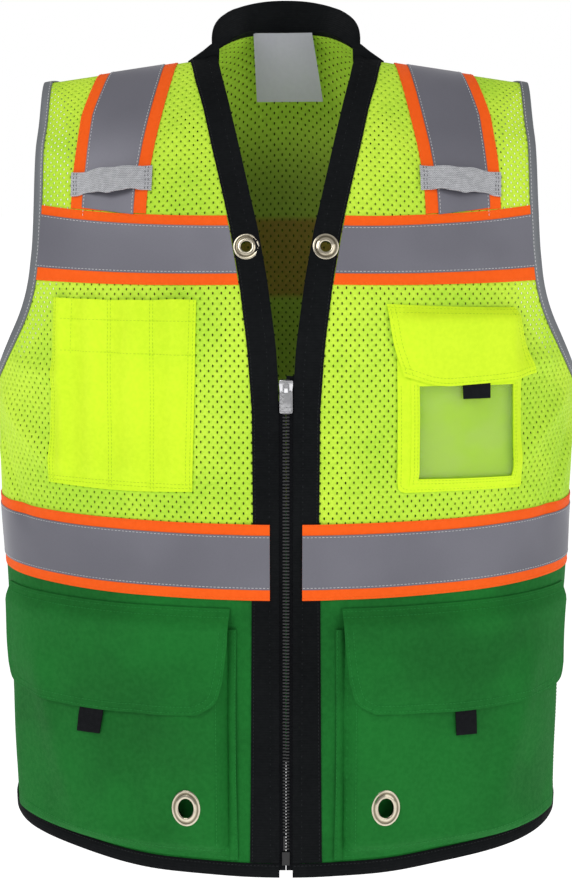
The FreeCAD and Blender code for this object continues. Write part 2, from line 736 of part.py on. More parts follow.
parts["collar_band"] = collar()
label_top = neck_b(0) - 1.5
parts["neck_label"] = cloth(BACK, close_loop(
    [(26.0, label_top), (-29.0, label_top)], [(-29.0, label_top), (-27.0, label_top - 62.0)],
    [(-27.0, label_top - 62.0), (34.0, label_top - 60.0)], [(34.0, label_top - 60.0), (26.0, label_top)]),
    -1.5, -0.5, h=8.0)


# ------------------------------------------------------------------ zip parts
AXIS = V(0, -20.0, -460.0)
AXIS.normalize()
OUT = V(0, AXIS.z, -AXIS.y)      # unit vector out of the chest, square to the zip
if OUT.y > 0:
    OUT = OUT * -1.0


def zip_frame(q):
    """Placement whose X runs to the wearer's right, Y down the zip and Z outwards."""
    c = FRONT.point(0.0, q)
    m = FreeCAD.Matrix(-1, 0, 0, c.x, 0, AXIS.y, OUT.y, c.y, 0, AXIS.z, OUT.z, c.z, 0, 0, 0, 1)
    return FreeCAD.Placement(m)


def block(x0, x1, y0, y1, z0, z1):
    return Part.makeBox(x1 - x0, y1 - y0, z1 - z0, V(x0, y0, z0))


def place(shape, q):
    s = shape.copy()
    s.transformShape(zip_frame(q).toMatrix(), False)
    return s


S_TOP = -271.5


def slider():
    def plate(z0, z1):
        pts = [V(-5.4, 0, z0), V(-5.8, 2.0, z0), V(-5.8, 9.0, z0), V(-4.3, 15.0, z0),
               V(4.3, 15.0, z0), V(5.8, 9.0, z0), V(5.8, 2.0, z0), V(5.4, 0, z0), V(-5.4, 0, z0)]
        return Part.Face(Part.makePolygon(pts)).extrude(V(0, 0, z1 - z0))
    body = plate(0.9, 2.3)
    body = body.fuse(plate(-4.8, -3.4))
    wedge = [V(-0.6, 0.4, -3.6), V(0.6, 0.4, -3.6), V(0.25, 5.0, -3.6), V(-0.25, 5.0, -3.6), V(-0.6, 0.4, -3.6)]
    body = body.fuse(Part.Face(Part.makePolygon(wedge)).extrude(V(0, 0, 4.7)))
    for sx in (-1, 1):
        x0, x1 = sorted((sx * 4.5, sx * 5.4))
        body = body.fuse(block(x0, x1, 2.5, 10.0, -0.4, 1.0))
        body = body.fuse(block(x0, x1, 2.5, 10.0, -3.5, -2.1))
        lug0, lug1 = sorted((sx * 2.9, sx * 3.9))
        lug = block(lug0, lug1, 2.2, 5.8, 2.2, 4.2).fuse(
            Part.makeCylinder(1.8, 1.0, V(lug0, 4.0, 4.2), V(1, 0, 0)))
        body = body.fuse(lug)
    body = body.fuse(Part.makeCylinder(0.7, 6.4, V(-3.2, 4.0, 4.2), V(1, 0, 0)))
    return body.removeSplitter()


def pull():
    eye = Part.makeCylinder(1.75, 5.2, V(-2.6, 4.0, 4.2), V(1, 0, 0))
    pts = [V(-2.6, 4.6, 3.6), V(-2.6, 7.8, 3.6), V(-4.6, 10.0, 3.6), V(-5.6, 26.5, 3.6), V(-4.6, 29.0, 3.6),
           V(4.6, 29.0, 3.6), V(5.6, 26.5, 3.6), V(4.6, 10.0, 3.6), V(2.6, 7.8, 3.6), V(2.6, 4.6, 3.6), V(-2.6, 4.6, 3.6)]
    tab = Part.Face(Part.makePolygon(pts)).extrude(V(0, 0, 1.3))
    body = eye.fuse(tab)
    return body.cut(Part.makeCylinder(1.0, 8.0, V(-4, 4.0, 4.2), V(1, 0, 0))).removeSplitter()


parts["zip_slider"] = place(slider(), S_TOP)
parts["zip_pull"] = place(pull(), S_TOP)
box = block(-3.2, 3.4, 0, 12.0, -3.9, 0.3).cut(block(0.3, 2.4, -1, 10.5, -2.9, -0.2))
parts["zip_retainer_box"] = place(box, -688.0)
parts["zip_insertion_pin"] = place(block(0.7, 2.3, 0, 13.2, -2.4, -0.5), -673.5)

for node in sorted(parts):
    shape = parts[node]
    if shape.ShapeType == "Compound" and len(shape.Solids) == 1:
        shape = shape.Solids[0]
    if shape.Volume < 0:
        shape.reverse()
    print(node, shape.ShapeType, "valid" if shape.isValid() else "INVALID", "closed" if all(s.isClosed() for s in shape.Shells) else "OPEN",
          round(shape.Volume), len(shape.Solids))
    shape.exportStep("parts/" + node + ".step")
print(len(parts), "parts")
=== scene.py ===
"""High visibility vest: the sewn garment and its hardware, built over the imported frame.

Pattern lengths (p round the body, q up the body, heights above the body
fabric) are millimetres; every mesh is written in metres in the frame's axes:
+Z up, the front faces -Y, +X is the wearer's left.
"""
from __future__ import annotations

import json
import logging
import math
from dataclasses import dataclass, field
from enum import Enum
from typing import Callable, Sequence, Union

import bmesh
import bpy
import numpy as np
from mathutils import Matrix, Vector
from mathutils.geometry import delaunay_2d_cdt

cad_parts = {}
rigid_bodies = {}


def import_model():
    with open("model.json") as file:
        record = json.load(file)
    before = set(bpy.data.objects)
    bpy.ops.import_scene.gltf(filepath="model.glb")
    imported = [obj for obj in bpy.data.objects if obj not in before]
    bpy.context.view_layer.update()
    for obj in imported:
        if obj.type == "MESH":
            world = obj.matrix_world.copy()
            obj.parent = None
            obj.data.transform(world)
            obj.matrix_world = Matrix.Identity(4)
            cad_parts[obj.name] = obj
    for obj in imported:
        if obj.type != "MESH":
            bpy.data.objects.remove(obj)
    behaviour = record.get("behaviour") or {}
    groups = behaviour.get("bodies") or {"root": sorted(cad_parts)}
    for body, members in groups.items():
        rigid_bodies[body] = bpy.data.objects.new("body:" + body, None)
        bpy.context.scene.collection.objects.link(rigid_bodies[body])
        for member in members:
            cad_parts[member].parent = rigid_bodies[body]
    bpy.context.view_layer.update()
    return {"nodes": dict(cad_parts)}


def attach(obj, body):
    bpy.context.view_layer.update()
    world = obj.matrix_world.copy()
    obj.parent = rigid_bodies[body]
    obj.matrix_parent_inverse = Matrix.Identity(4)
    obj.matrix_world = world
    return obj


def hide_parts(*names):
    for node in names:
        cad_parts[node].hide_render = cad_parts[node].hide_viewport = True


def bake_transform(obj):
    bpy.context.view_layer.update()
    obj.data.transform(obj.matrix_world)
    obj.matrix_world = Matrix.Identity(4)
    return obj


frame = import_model()
MM = 0.001
LOG = logging.getLogger("vest")

Array = np.ndarray
Height = Union[float, Callable[[Array, Array], Array]]
Points = list[tuple[float, float]]
Obj = bpy.types.Object
Material = bpy.types.Material
Socket = bpy.types.NodeSocket


def ease(x: Array | float) -> Array:
    """Smooth step from 0 to 1 as x goes from 0 to 1."""
    x = np.clip(x, 0.0, 1.0)
    return x * x * (3 - 2 * x)


def stations(x: Array, xs: Sequence[float], ys: Sequence[float]) -> Array:
    """Smoothly joined stations.

    Args:
        x: places asked for.
        xs: rising station places.
        ys: values at the stations.

    Returns:
        The eased value at every x.
    """
    xa, ya = np.array(xs), np.array(ys)
    x = np.clip(x, xa[0], xa[-1])
    i = np.clip(np.searchsorted(xa, x) - 1, 0, len(xa) - 2)
    return ya[i] + (ya[i + 1] - ya[i]) * ease((x - xa[i]) / (xa[i + 1] - xa[i]))


def run_of(points: Array) -> Array:
    """Running length along a row of points."""
    return np.concatenate([[0.0], np.cumsum(np.linalg.norm(np.diff(points, axis=0), axis=1))])


# ---------------------------------------------------------------- worn surface
class Half(Enum):
    """Half of the garment; the value is the side of the Y axis it faces."""

    FRONT = -1
    BACK = 1


@dataclass
class Skin:
    """Worn surface of one half of the garment, addressed in pattern mm."""

    half: Half
    girth: tuple[float, float]
    turn: float
    lean: tuple[float, float]
    exps: tuple[float, float]
    side: float = field(init=False)
    top: float = field(init=False)

    def __post_init__(self) -> None:
        """Tabulate the girth and the lean profile by arc length."""
        self.angles = np.linspace(0.0, math.pi / 2, 1201)
        a, b = self.girth
        self.girth_run = run_of(np.stack([a * np.sin(self.angles), b * np.cos(self.angles)], -1))
        rise, out = self.lean
        cosine = np.maximum(np.cos(self.angles), 0.0)
        self.lean_run = run_of(np.stack([rise * np.sin(self.angles) ** self.exps[0], out * cosine ** self.exps[1]], -1))
        self.side = float(self.girth_run[-1])
        self.top = self.turn + float(self.lean_run[-1])

    def angle(self, p: Array) -> Array:
        """Turn round the body at pattern width p."""
        a = np.abs(p)
        over = a > self.side
        t = np.interp(np.where(over, 2 * self.side - a, a), self.girth_run, self.angles)
        return np.sign(p) * np.where(over, math.pi - t, t)

    def width(self, z: Array) -> Array:
        """Half width of the body at height z."""
        return stations(z, [-710.0, -290.0], [252.0, 265.0])

    def depth(self, z: Array) -> Array:
        """Depth of the body at height z."""
        if self.half is Half.FRONT:
            return 138.0 + 20.0 * (-250.0 - np.minimum(z, -250.0)) / 460.0
        return stations(z, [-710.0, -450.0, -190.0], [125.0, 104.0, 118.0])

    def ridge(self, x: Array) -> Array:
        """Height of the shoulder line at x."""
        z = -0.15 * (np.abs(x) - 84.0)
        if self.half is Half.BACK:
            z = z + np.where(np.abs(x) < 84.0, 30.0 * (1 - np.minimum(np.abs(x) / 84.0, 1) ** 2) ** 1.5, 0.0)
        return z

    def plain(self, p: Array, q: Array) -> Array:
        """Body surface without folds, in mm."""
        p, q = np.asarray(p, float), np.asarray(q, float)
        t = self.angle(p)
        z = np.minimum(q, self.turn)
        x = self.width(z) * np.sin(t)
        d = self.depth(z) * np.cos(t)
        run = q - self.turn
        total = self.lean_run[-1]
        over = run > total
        a = np.interp(np.where(over, 2 * total - run, run), self.lean_run, self.angles)
        a = np.where(over, math.pi - a, a)
        c = np.cos(a)
        lean = np.sign(c) * np.abs(c) ** self.exps[1]
        high = q > self.turn
        up = self.turn + (self.ridge(x) - self.turn) * np.abs(np.sin(a)) ** self.exps[0]
        z = np.where(high, up, z)
        d = np.where(high, d * lean, d)
        return np.stack([x, self.half.value * d, z], -1)

    def normal(self, p: Array, q: Array) -> Array:
        """Outward unit normal of the body surface."""
        h = 1.5
        p, q = np.asarray(p, float), np.asarray(q, float)
        n = np.cross(self.plain(p + h, q) - self.plain(p - h, q), self.plain(p, q + h) - self.plain(p, q - h))
        n = n * -self.half.value
        return n / np.linalg.norm(n, axis=-1, keepdims=True)

    def folds(self, p: Array, q: Array) -> Array:
        """Soft folds of the worn cloth, in mm along the normal."""
        s = np.sign(p)
        a = np.abs(p)
        low = ease((-450.0 - q) / 200.0)
        wave = 2.2 * low * np.sin(a / 34.0 + 0.9 * s + 0.5 * np.sin(q / 90.0)) * ease((a - 60.0) / 80.0)
        pull = np.zeros_like(a)
        for p0, q0, dp, dq, wide, tall in FOLD_LINES:
            length = math.hypot(dp, dq)
            ux, uy = dp / length, dq / length
            along_line = ((a - p0) * ux + (q - q0) * uy) / length
            across = -(a - p0) * uy + (q - q0) * ux
            across = across + 4.0 * s * np.sin(along_line * 3.0)
            ends = ease(along_line / 0.3) * ease((1.15 - along_line) / 0.45)
            pull = pull + tall * ends * np.exp(-(across / wide) ** 2)
        ripple = 0.7 * np.sin(q / 23.0 + p / 51.0) * np.sin(p / 29.0 - q / 70.0)
        quiet = ease((a - 22.0) / 30.0) * ease((self.top - q) / 60.0)
        full = 0.0 if self.half is Half.BACK else 0.45 * ease((self.side - 20.0 - a) / 60.0)
        return (wave + pull + ripple) * quiet * (0.8 + full)

    def at(self, p: Array, q: Array, off: Height = 0.0) -> Array:
        """Point at a height above the folded cloth, in metres."""
        p, q = np.asarray(p, float), np.asarray(q, float)
        lift = off(p, q) if callable(off) else off
        return (self.plain(p, q) + self.normal(p, q) * (self.folds(p, q) + lift)[..., None]) * MM


# start (p, q), run (p, q), half width and height of each drawn fold
FOLD_LINES: tuple[tuple[float, float, float, float, float, float], ...] = (
    (300.0, -285.0, -90.0, -70.0, 11.0, 3.6),
    (318.0, -300.0, -70.0, -110.0, 10.0, -3.0),
    (270.0, -262.0, -70.0, -10.0, 9.0, 2.4),
    (312.0, -330.0, -40.0, -60.0, 9.0, 2.6),
    (232.0, -20.0, -60.0, -90.0, 16.0, 1.8),
    (75.0, -20.0, 55.0, -90.0, 12.0, 1.6),
    (240.0, -500.0, -40.0, -170.0, 14.0, 2.6),
    (120.0, -480.0, 20.0, -200.0, 15.0, -2.2),
    (60.0, -215.0, -8.0, -150.0, 8.0, 1.2),
)

FRONT = Skin(Half.FRONT, (262.0, 148.0), -240.0, (240.0, 138.0), (1.25, 4.0 / 3.0))
BACK = Skin(Half.BACK, (262.0, 115.0), -190.0, (195.0, 118.0), (0.714, 0.714))
SEAM = 0.5


# ------------------------------------------------------------ pattern landmarks
NECK_OUT: Points = [(86, 49), (80, 10), (72, -25), (65, -62), (53, -117), (47.5, -143), (40, -187), (33, -242),
                    (29, -299), (28.5, -395), (30, -467), (32, -632), (33, -712)]
NECK_IN: Points = [(62, 49), (56, 10), (49, -25), (41.5, -62), (30, -117), (24, -143), (16, -187), (8.5, -242),
                   (6.5, -275), (6.2, -330), (6.0, -520), (6.0, -712)]
ARMHOLE: Points = [(229, 49), (231, -13), (233, -60), (234, -104), (235, -146), (237, -166), (240.5, -186),
                   (247, -206), (257, -226), (272, -247), (293, -268), (311, -279), (FRONT.side, -283)]
TAPE_IN: Points = [(97, 49), (101, 20), (108, -20), (114, -55), (118, -85), (120.5, -113), (121, -130)]
TAPE_OUT: Points = [(171, 49), (177, 20), (185.5, -15), (189, -55), (191, -85), (193, -113), (194, -130)]
NECK_EYE = (33.5, -159.5)
POCKET_EYE = (88.0, -647.0)


def smooth_line(points: Points, count: int) -> Points:
    """Resample a drawn line as a smooth curve through its points."""
    pts = np.array(points, float)
    run = run_of(pts)
    ext = np.vstack([2 * pts[0] - pts[1], pts, 2 * pts[-1] - pts[-2]])
    out: Points = []
    for s in np.linspace(0, run[-1], count):
        i = int(np.clip(np.searchsorted(run, s) - 1, 0, len(pts) - 2))
        f = (s - run[i]) / (run[i + 1] - run[i])
        a, b, c, d = ext[i], ext[i + 1], ext[i + 2], ext[i + 3]
        v = 0.5 * (2 * b + (c - a) * f + (2 * a - 5 * b + 4 * c - d) * f ** 2 + (3 * b - a - 3 * c + d) * f ** 3)
        out.append((float(v[0]), float(v[1])))
    return out


def along(line: Points, q: float) -> float:
    """Width p of a landmark line at height q."""
    pts = sorted((b, a) for a, b in line)
    return float(np.interp(q, [b for b, _ in pts], [a for _, a in pts]))


def part_of(line: Points, q_from: float, q_to: float, shift: float = 0.0, count: int = 9) -> Points:
    """Points of a landmark line between two heights, shifted sideways."""
    return [(along(line, q) + shift, float(q)) for q in np.linspace(q_from, q_to, count)]


def row(rule: Callable[[float], float], p0: float, p1: float, count: int = 17) -> Points:
    """Points of a rule q(p) from p0 to p1."""
    return [(float(p), float(rule(p))) for p in np.linspace(p0, p1, count)]


def hem_front(p: float) -> float:
    """Height of the front hem's edge."""
    return -710.0 + 10.0 * (p / 225.0) ** 2


def hem_back(p: float) -> float:
    """Height of the back hem's edge."""
    return hem_front(FRONT.side) - 8.0 * (1 - (p / BACK.side) ** 2)


def chest_top(p: float) -> float:
    """Upper edge of the chest band."""
    return -132.5 + 17.5 * (p / 200.0) ** 2


def chest_silver_top(p: float) -> float:
    """Upper edge of the chest band's silver tape."""
    return -141.5 + 17.0 * (p / 200.0) ** 2


def chest_silver_low(p: float) -> float:
    """Lower edge of the chest band's silver tape."""
    return -182.0 + 7.0 * (p / 200.0) ** 2


def chest_low(p: float) -> float:
    """Lower edge of the chest band."""
    return -191.5 + 4.5 * (p / 200.0) ** 2


def waist_edge(q: float, rise: float) -> Callable[[float], float]:
    """Edge of the waist band that rises towards the side seam."""
    return lambda p: q + rise * (p / 250.0) ** 2


WAIST = (waist_edge(-396.5, 3.0), waist_edge(-406.0, 3.2), waist_edge(-453.5, 3.6), waist_edge(-463.0, 4.0))


def ring(p: float, q: float, radius: float, count: int = 20) -> Points:
    """Closed circle in pattern space."""
    return [(p + radius * math.cos(2 * math.pi * k / count), q + radius * math.sin(2 * math.pi * k / count))
            for k in range(count)]


def mirrored(points: Points, side: int) -> Points:
    """The same outline on the wearer's right (-1) or left (+1)."""
    return points if side > 0 else [(-p, q) for p, q in points]


# ------------------------------------------------------------------ mesh makers
def new_object(name: str, verts: Array, faces: Sequence[Sequence[int]], sharp: float = 45.0) -> Obj:
    """Make a smooth-shaded mesh object.

    Args:
        name: piece name.
        verts: vertex places in metres.
        faces: vertex loops, turned outwards.
        sharp: crease angle in degrees past which an edge shades hard.

    Returns:
        The linked object.
    """
    mesh = bpy.data.meshes.new(name)
    mesh.from_pydata([tuple(v) for v in np.asarray(verts, float)], [], [tuple(int(i) for i in f) for f in faces])
    mesh.polygons.foreach_set("use_smooth", [True] * len(mesh.polygons))
    mesh.set_sharp_from_angle(angle=math.radians(sharp))
    mesh.update()
    obj = bpy.data.objects.new(name, mesh)
    bpy.context.scene.collection.objects.link(obj)
    return obj


def set_uv(obj: Obj, uv: Array, name: str = "pattern") -> None:
    """Store one (u, v) per vertex as a UV map."""
    mesh = obj.data
    layer = mesh.uv_layers.new(name=name)
    idx = np.empty(len(mesh.loops), dtype=np.int32)
    mesh.loops.foreach_get("vertex_index", idx)
    layer.data.foreach_set("uv", np.asarray(uv, np.float32)[idx].ravel())


def dense(loop: Points, step: float) -> Array:
    """Closed loop with no edge longer than step."""
    pts = np.array(loop, float)
    out = []
    for a, b in zip(pts, np.roll(pts, -1, axis=0)):
        n = max(1, int(math.ceil(np.hypot(*(b - a)) / step)))
        out.extend(a + (b - a) * k / n for k in range(n))
    keep = [out[0]]
    for v in out[1:]:
        if np.hypot(*(v - keep[-1])) > 0.02:
            keep.append(v)
    if np.hypot(*(keep[0] - keep[-1])) <= 0.02:
        keep.pop()
    return np.array(keep)


def inside(points: Array, loop: Array) -> Array:
    """Even-odd test of points against a closed loop."""
    hit = np.zeros(len(points), bool)
    x, y = points[:, 0], points[:, 1]
    for (x0, y0), (x1, y1) in zip(loop, np.roll(loop, -1, axis=0)):
        if y0 == y1:
            continue
        cross = (y0 > y) != (y1 > y)
        hit ^= cross & (x < (x1 - x0) * (y - y0) / (y1 - y0) + x0)
    return hit


def near_loop(points: Array, loop: Array, gap: float) -> Array:
    """Points closer than gap to a loop's edges."""
    close = np.zeros(len(points), bool)
    for a, b in zip(loop, np.roll(loop, -1, axis=0)):
        ab = b - a
        t = np.clip(((points - a) @ ab) / max(float(ab @ ab), 1e-9), 0, 1)
        close |= np.hypot(*(points - a - t[:, None] * ab).T) < gap
    return close


def fill(loop: Points, holes: Sequence[Points], step: float, edge_step: float | None = None) -> tuple[Array, Array]:
    """Triangulate an outline with an even inner grid.

    Args:
        loop: outline, anticlockwise or clockwise.
        holes: closed holes.
        step: inner grid spacing.
        edge_step: longest edge along the outline.

    Returns:
        Pattern points and anticlockwise triangles.
    """
    loops = [dense(loop, edge_step or step)] + [dense(h, step) for h in holes]
    lo, hi = loops[0].min(0), loops[0].max(0)
    xs = np.arange(lo[0] + step / 2, hi[0], step)
    ys = np.arange(lo[1] + step / 2, hi[1], step * 0.9)
    gx, gy = np.meshgrid(xs, ys)
    gx = gx + (np.arange(len(ys)) % 2)[:, None] * step / 2
    grid = np.stack([gx.ravel(), gy.ravel()], -1)
    ok = inside(grid, loops[0])
    for h in loops[1:]:
        ok &= ~inside(grid, h)
    grid = grid[ok]
    for one in loops:
        grid = grid[~near_loop(grid, one, step * 0.42)]
    verts = np.vstack(loops + [grid])
    edges, start = [], 0
    for one in loops:
        n = len(one)
        edges += [(start + k, start + (k + 1) % n) for k in range(n)]
        start += n
    out = delaunay_2d_cdt([Vector(v) for v in verts], edges, [], 0, 1e-6)
    pts = np.array([tuple(v) for v in out[0]])
    tris = np.array([tuple(f) for f in out[2]])
    mid = pts[tris].mean(1)
    ok = inside(mid, loops[0])
    for h in loops[1:]:
        ok &= ~inside(mid, h)
    tris = tris[ok]
    a, b, c = pts[tris[:, 0]], pts[tris[:, 1]], pts[tris[:, 2]]
    area = (b[:, 0] - a[:, 0]) * (c[:, 1] - a[:, 1]) - (b[:, 1] - a[:, 1]) * (c[:, 0] - a[:, 0])
    tris = tris[np.abs(area) > 1e-7]
    area = area[np.abs(area) > 1e-7]
    tris[area < 0] = tris[area < 0][:, ::-1]
    used = np.unique(tris)
    remap = np.full(len(pts), -1)
    remap[used] = np.arange(len(used))
    return pts[used], remap[tris]


def sheet(name: str, skin: Skin, loop: Points, lo: Height, hi: Height, holes: Sequence[Points] = (),
          step: float = 7.0, edge_step: float | None = None) -> Obj:
    """Closed layer of cloth between two heights inside a pattern outline.

    Args:
        name: piece name.
        skin: half of the garment that carries it.
        loop: outline in pattern mm.
        lo: underside height.
        hi: outer height.
        holes: outlines cut out of it.
        step: inner grid spacing.
        edge_step: longest edge along the outline.

    Returns:
        The piece with its pattern laid out as UVs in metres.
    """
    pts, tris = fill(loop, holes, step, edge_step)
    if skin.half is Half.BACK:
        tris = tris[:, ::-1]
    n = len(pts)
    p, q = pts[:, 0], pts[:, 1]
    verts = np.vstack([skin.at(p, q, hi), skin.at(p, q, lo)])
    pairs: dict[tuple[int, int], int] = {}
    for t in tris:
        for k in range(3):
            a, b = int(t[k]), int(t[(k + 1) % 3])
            pairs[(a, b)] = 1
    rim = [(a, b) for a, b in pairs if (b, a) not in pairs]
    faces = [tuple(t) for t in tris] + [(t[2] + n, t[1] + n, t[0] + n) for t in tris]
    faces += [(a, a + n, b + n, b) for a, b in rim]
    obj = new_object(name, verts, faces)
    set_uv(obj, np.vstack([pts, pts]) * MM)
    return obj


def loft(name: str, rows: Array, closed: bool = True, caps: bool = True, sharp: float = 50.0,
         outward: bool = True) -> Obj:
    """Skin rows of section points into a closed tube.

    Args:
        name: piece name.
        rows: array (stations, section points, 3) in metres.
        closed: whether each section closes on itself.
        caps: whether the ends are closed.
        sharp: crease angle in degrees.
        outward: flips the faces when False.

    Returns:
        The piece with UVs along (u) and around (v), in metres.
    """
    m, n = rows.shape[:2]
    faces: list[tuple[int, ...]] = []
    last = n if closed else n - 1
    for i in range(m - 1):
        for j in range(last):
            k = (j + 1) % n
            faces.append((i * n + j, i * n + k, (i + 1) * n + k, (i + 1) * n + j))
    if caps and closed:
        faces.append(tuple(range(n))[::-1])
        faces.append(tuple((m - 1) * n + j for j in range(n)))
    if not outward:
        faces = [f[::-1] for f in faces]
    obj = new_object(name, rows.reshape(-1, 3), faces, sharp)
    run, around = run_of(rows.mean(1)), run_of(rows[m // 2])
    uv = np.stack(np.broadcast_arrays(run[:, None], around[None, :]), -1).reshape(-1, 2)
    set_uv(obj, uv)
    return obj


def fix_outward(obj: Obj) -> Obj:
    """Turn a closed mesh the right way out by its signed volume."""
    mesh = obj.data
    mesh.calc_loop_triangles()
    co = np.empty(len(mesh.vertices) * 3)
    mesh.vertices.foreach_get("co", co)
    co = co.reshape(-1, 3)
    tri = np.empty(len(mesh.loop_triangles) * 3, dtype=np.int32)
    mesh.loop_triangles.foreach_get("vertices", tri)
    t = co[tri.reshape(-1, 3)]
    if np.einsum("ij,ij->i", t[:, 0], np.cross(t[:, 1], t[:, 2])).sum() < 0:
        mesh.flip_normals()
    return obj


def edge_frames(line: Points, inward: int) -> list[tuple[float, float, float, float]]:
    """Stations along an edge with their unit direction into the cloth."""
    out = []
    for i, (p, q) in enumerate(line):
        a, b = line[max(0, i - 1)], line[min(len(line) - 1, i + 1)]
        tx, ty = b[0] - a[0], b[1] - a[1]
        n = math.hypot(tx, ty)
        out.append((p, q, -ty / n * inward, tx / n * inward))
    return out


def folded_binding(name: str, skin: Skin, line: Points, inward: int, side: int, width: float,
                   outer: float = 2.5, inner: float = -1.5) -> Obj:
    """Binding tape folded over a raw edge.

    Args:
        name: piece name.
        skin: half of the garment that carries it.
        line: the raw edge, written for the wearer's left.
        inward: +1 when the cloth lies to the left of the line.
        side: -1 mirrors it to the wearer's right.
        width: leg width in mm.
        outer: height of the outer leg's face.
        inner: height of the inner leg's face.

    Returns:
        The closed binding.
    """
    nose = [(width, outer - 0.5), (width - 0.7, outer), (width * 0.5, outer + 0.15), (0.6, outer), (-0.6, outer - 0.6),
            (-1.1, 0.5), (-0.6, inner + 0.6), (0.6, inner), (width - 0.7, inner), (width, inner + 0.5),
            (width, -0.25), (0.8, -0.25), (0.8, 1.1), (width, 1.1)]
    rows = []
    for p, q, ip, iq in edge_frames(line, inward):
        rows.append([skin.at(side * (p + w * ip), q + w * iq, o) for w, o in nose])
    return fix_outward(loft(name, np.array(rows)))


# ------------------------------------------------------------------ shader maths
Number = Union[int, float]


class Sig:
    """A shader socket that adds Math nodes when it is used in an expression."""

    def __init__(self, finish: "NodeBench", socket: Socket) -> None:
        """Keep the socket and the bench it belongs to."""
        self.bench, self.socket = finish, socket

    def _math(self, op: str, a: Sig | Number, b: Sig | Number | None = None) -> Sig:
        """Add one Math node."""
        values = {0: a} if b is None else {0: a, 1: b}
        return self.bench.node("ShaderNodeMath", {"operation": op}, values)

    def sin(self) -> Sig:
        """Sine."""
        return self._math("SINE", self)

    def fract(self) -> Sig:
        """Fractional part."""
        return self._math("FRACT", self)

    def absolute(self) -> Sig:
        """Absolute value."""
        return self._math("ABSOLUTE", self)

    def over(self, level: Number) -> Sig:
        """1 where the signal is above level."""
        return self._math("GREATER_THAN", self, level)

    def top_of(self, other: Sig | Number) -> Sig:
        """Larger of two signals."""
        return self._math("MAXIMUM", self, other)

    def span(self, a: Number, b: Number, lo: Number = 0.0, hi: Number = 1.0) -> Sig:
        """Clamped smooth remap of a..b on to lo..hi."""
        return self.bench.node("ShaderNodeMapRange", {"interpolation_type": "SMOOTHSTEP"},
                               {0: self, 1: a, 2: b, 3: lo, 4: hi})


def _overload(name: str, operation: str) -> None:
    """Give Sig a Python operator and, for plain numbers on its left, the reflected one."""
    setattr(Sig, f"__{name}__", lambda self, other: self._math(operation, self, other))
    setattr(Sig, f"__r{name}__", lambda self, other: self._math(operation, other, self))


for operator_name, operation_name in (("add", "ADD"), ("sub", "SUBTRACT"), ("mul", "MULTIPLY"), ("truediv", "DIVIDE")):
    _overload(operator_name, operation_name)

Colour = tuple[float, float, float]


class NodeBench:
    """Builds one material's node tree."""

    def __init__(self, name: str) -> None:
        """Start an empty material with a Principled shader."""
        self.material = bpy.data.materials.new(name)
        self.material.use_nodes = True
        self.tree = self.material.node_tree
        self.shader = self.tree.nodes["Principled BSDF"]

    def node(self, kind: str, settings: dict | None = None, values: dict | None = None, out: int | str = 0) -> Sig:
        """Add a node.

        Args:
            kind: node type.
            settings: node settings, set first.
            values: socket values or signals, by index or name.
            out: output socket.

        Returns:
            The output as a signal.
        """
        made = self.tree.nodes.new(kind)
        for key, value in (settings or {}).items():
            setattr(made, key, value)
        for key, value in (values or {}).items():
            self.feed(made.inputs[key], value)
        return Sig(self, made.outputs[out])

    def feed(self, socket: Socket, value: object) -> None:
        """Link a signal, or set a plain value."""
        if isinstance(value, Sig):
            self.tree.links.new(value.socket, socket)
        elif isinstance(value, tuple) and len(value) == 3 and socket.type == "RGBA":
            socket.default_value = (*value, 1.0)
        else:
            socket.default_value = value

    def set(self, **sockets: object) -> "NodeBench":
        """Feed Principled sockets by name, spaces written as underscores."""
        for key, value in sockets.items():
            self.feed(self.shader.inputs[key.replace("_", " ")], value)
        return self

    def mix(self, factor: Sig | Number, a: Sig | Colour, b: Sig | Colour, blend: str = "MIX") -> Sig:
        """Blend two colours."""
        return self.node("ShaderNodeMix", {"data_type": "RGBA", "blend_type": blend}, {0: factor, 6: a, 7: b}, 2)

    def place(self) -> Sig:
        """Object coordinates."""
        return self.node("ShaderNodeTexCoord", out="Object")

    def pattern(self) -> Sig:
        """The cloth's own flat layout."""
        return self.node("ShaderNodeUVMap", {"uv_map": "pattern"})

    def noise(self, where: Sig, scale: float, detail: float = 3.0, rough: float = 0.5) -> Sig:
        """Noise value from 0 to 1."""
        return self.node("ShaderNodeTexNoise", {}, {"Vector": where, "Scale": scale, "Detail": detail,
                                                    "Roughness": rough})

    def split(self, where: Sig) -> tuple[Sig, Sig, Sig]:
        """The three parts of a vector."""
        made = self.tree.nodes.new("ShaderNodeSeparateXYZ")
        self.feed(made.inputs[0], where)
        return Sig(self, made.outputs[0]), Sig(self, made.outputs[1]), Sig(self, made.outputs[2])

    def bump(self, height: Sig, depth: float, strength: float = 1.0) -> None:
        """Raise the surface by a height signal; depth is in metres."""
        self.set(Normal=self.node("ShaderNodeBump", {}, {"Strength": strength, "Distance": depth, "Height": height}))


class Weave(Enum):
    """Surface structure of a textile, as thread rows per metre."""

    KNIT = (900.0, 900.0)
    TWILL = (1400.0, 1400.0)
    RIBBED = (900.0, 420.0)
    WEBBING = (520.0, 560.0)
    SATIN = (2600.0, 2600.0)


